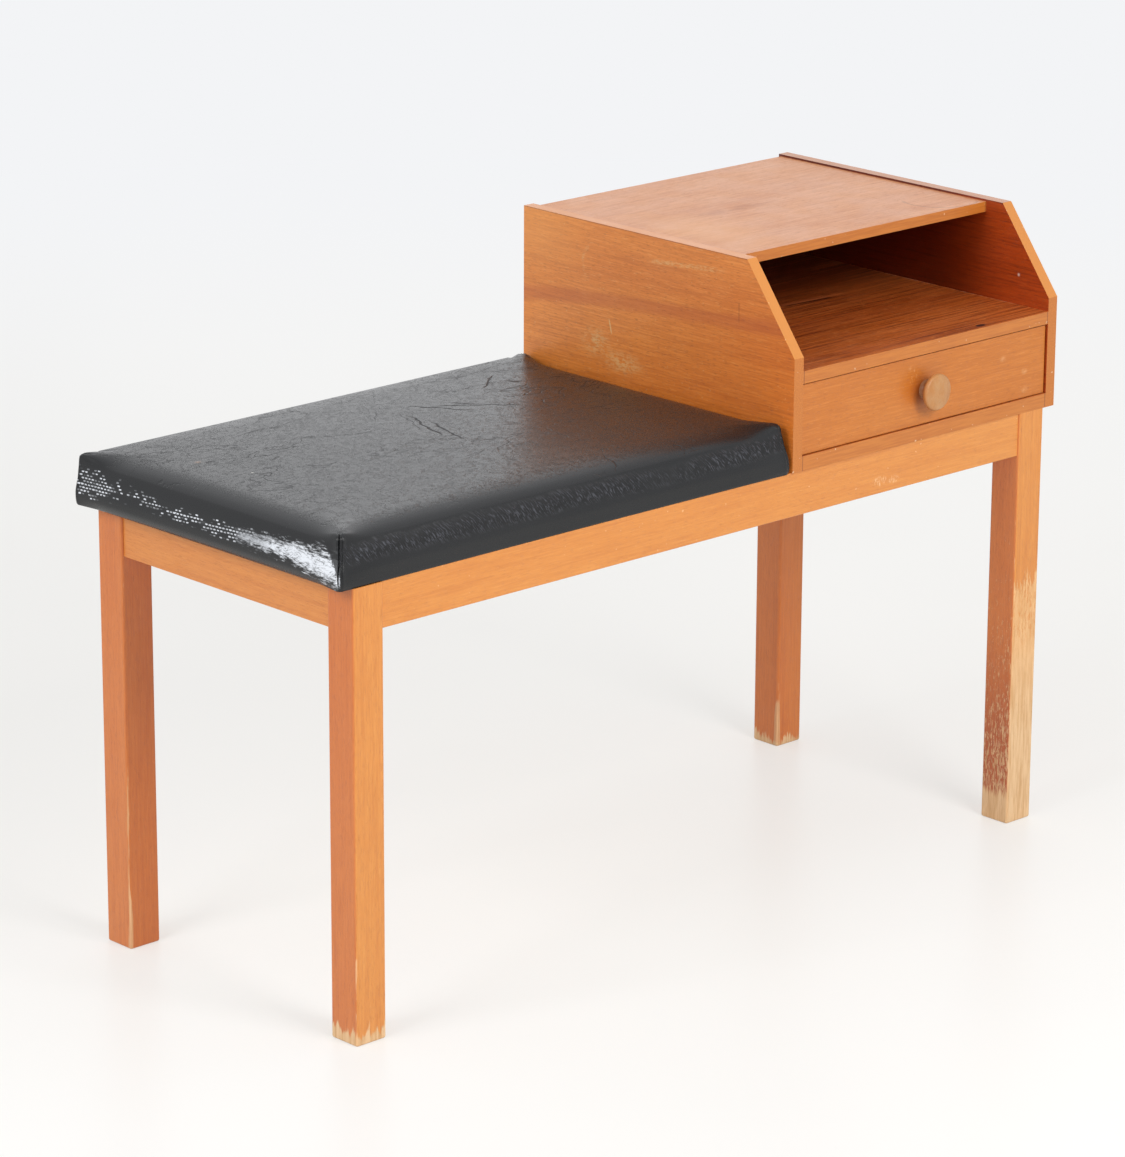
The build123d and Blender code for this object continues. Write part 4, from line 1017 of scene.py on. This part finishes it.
def vinylCreases(finish, look, flat):
    # fine wrinkles along the seat, and a few longer creases
    wrinkle = finish.noise(95.0, detail=5.0, rough=0.62, warp=1.0, shift=(4, 1, 6))
    wrinkle = finish.fade(abs(wrinkle - 0.5), 0.03, 0.0) * flat
    wander = finish.noise(15.0, (0.5, 1.0, 1.0), detail=4.0, rough=0.6, warp=0.5)
    patch = finish.noise(7.0, detail=2.0, shift=(2, 2, 2))
    crease = finish.fade(abs(wander - 0.5), 0.008, 0.0) * finish.fade(patch, 0.42, 0.56) * 0.5
    clear = [finish.line(start, end, look["creaseWidth"]) for start, end in look["creases"]]
    faint = [finish.line(start, end, look["faintWidth"]) * 0.45 for start, end in look["faintCreases"]]
    return wrinkle, finish.most(crease, *clear, *faint)


def sideWrinkles(finish, look):
    # short slanted wrinkles along the middle of the sides: the band they lie in, its ground painted dark as
    # shade, and strokes painted light
    x, y, z = finish.axes(finish.point)
    slant = finish.node("ShaderNodeCombineXYZ", None, {0: x + y + z * 0.5, 1: z * 0.22, 2: y * 0.1})
    values = {"Vector": slant, "Scale": 780.0, "Detail": 2.0, "Roughness": 0.6, "Distortion": 0.4}
    stroke = finish.fade(finish.node("ShaderNodeTexNoise", None, values), 0.5, 0.64)
    around = finish.noise(26.0, (1.0, 1.0, 0.5), detail=3.0)
    place = look["sideBand"]
    fromBand = abs(z - place["height"] - (around - 0.5) * place["wander"])
    nx, nz = finish.axes(finish.normal)[::2]
    band = finish.fade(fromBand, *place["reach"]) * (1 - finish.fade(nz, 0.6, 0.95))
    band = band * finish.fade(abs(nx), 0.6, 0.4)
    ground = band * finish.fade(around, 0.24, 0.52)
    return band, ground, ground * stroke


def wornEnd(finish, look, fine):
    # the left end is rubbed through to its backing: woven dots at the back, brushed bare at the near corner
    x, y, z = finish.axes(finish.point)
    low, high = look["low"], look["high"]
    keptX, keptY = look["keptCorner"]
    end = finish.fade(finish.axes(finish.normal)[0], -0.3, -0.55) * (x < low[0] + look["wornEnd"])
    end = end * (1 - (x > low[0] + keptX) * (y < low[1] + keptY))
    # the vinyl holds on beside the near corner's pleat
    kept = look["holds"]
    holds = finish.fade(z - (y - kept["from"]) * kept["slope"] + (fine - 0.5) * 0.008, *kept["height"])
    holds = holds * (y < kept["to"])
    along, upward = (y - low[1]) / (high[1] - low[1]), (z - low[2]) / (high[2] - low[2])
    centre, reach, amount = [finish.level(along, stops) for stops in look["worn"].values()]
    core = (1 - abs(upward - centre) / reach) * amount
    brush = finish.noise(600.0, (1.0, 0.17, 0.8), detail=5.0, rough=0.74, warp=0.3)
    clump = finish.noise(60.0, (1.0, 0.5, 1.0), detail=3.0, shift=(1, 4, 2))
    # dots of the weave, every other row set off by half a dot
    row = (z + y * 0.05) / look["dot"][1]
    column = y / look["dot"][0] + finish.math("FLOOR", row) * 0.5
    place = {0: finish.math("FLOOR", column), 1: finish.math("FLOOR", row)}
    cell = finish.node("ShaderNodeCombineXYZ", None, place)
    chance = finish.node("ShaderNodeTexWhiteNoise", {"noise_dimensions": "3D"}, {"Vector": cell})
    frayed = (brush - 0.5) * 0.6
    dotZ = finish.fade(abs(finish.math("FRACT", row) - 0.5) + frayed, 0.3, 0.12)
    dotY = finish.fade(abs(finish.math("FRACT", column) - 0.5) + frayed, 0.42, 0.22)
    dots = dotZ * dotY * finish.fade(chance - core * 1.3 - (clump - 0.5) * 0.8, 0.25, -0.15)
    dots = dots * (1.1 - chance * 0.6)
    # the brushed part
    dense = finish.fade(brush + core * 0.36 + (clump - 0.5) * 0.26, 0.58, 0.8)
    scratches = finish.noise(110.0, (1.0, 0.45, 1.6), detail=3.0, warp=2.0, shift=(5, 1, 3))
    dense = dense * (1 - finish.fade(abs(scratches - 0.5), 0.014, 0.004) * 0.85)
    brushed = finish.fade(along + (clump - 0.5) * 0.5, 0.44, 0.2)
    return end * finish.most(dense * brushed, dots * (1 - brushed) * 0.9) * (1 - holds * 0.92)


def blackVinyl(look):
    finish = Finish("black vinyl")
    up = finish.axes(finish.normal)[2]
    topFace, flat = finish.fade(up, 0.6, 0.95), finish.fade(up, 0.95, 0.995)
    pebble = finish.cells(1100.0)
    fine = finish.noise(500.0, detail=3.0)
    soft = finish.noise(240.0, detail=4.0, rough=0.7, warp=0.8)
    wrinkle, crease = vinylCreases(finish, look, flat)
    crease = crease * topFace
    colour = finish.mix(finish.fade(finish.noise(6.0, detail=4.0), 0.3, 0.7), look["vinyl"], look["dusty"])
    # painted sheen: the top is made lighter, fading out towards the side panel
    paintedSheen = finish.fade(finish.axes(finish.point)[0], *look["paintedSheenFrom"], 0.0, 0.85)
    colour = finish.mix(topFace * paintedSheen, colour, look["paintedSheen"])
    # painted shade darkens the creases and the fine wrinkles
    colour = finish.mix(crease * 0.8 + wrinkle * 0.25, colour, look["creaseShade"])
    scuff = finish.near(*look["scuff"]) * finish.fade(fine, 0.35, 0.5)
    colour = finish.mix(scuff, colour, look["scuffColour"])
    colour = finish.mix(finish.near(*look["speck"]), colour, look["speckColour"])
    band, ground, stroke = sideWrinkles(finish, look)
    # painted shade: the ground of the wrinkle band is made darker, as in a trough
    colour = finish.mix(ground * 0.95, colour, look["troughShade"])
    # lighter strokes on the wrinkle ridges: rubbed vinyl and painted highlights
    colour = finish.mix(stroke * 0.6, colour, look["rubbed"])
    worn = wornEnd(finish, look, fine)
    colour = finish.mix(worn, colour, look["backing"])
    height = pebble * 0.25 + fine * 0.25 + soft * flat * 2.4 + stroke * 5.0
    height = height - crease * 8.0 - wrinkle * 1.6 + worn * 1.5
    gloss = 0.24 + fine * 0.08 + band * 0.2 + crease * 0.3 + wrinkle * 0.06 + worn * 0.5
    return finish.surface(colour, gloss, height, 0.0001, Specular_IOR_Level=0.42)


cushion = makeCushion("seat_cushion", cushionLook["cuts"], cushionLook["crowding"], cushionLook)
swell(cushion, cushionLook)
cushion.data.materials.append(blackVinyl(cushionLook))
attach(cushion, "bench")
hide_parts("seat_cover", "seat_foam")
print("cushion made, faces:", len(cushion.data.polygons))
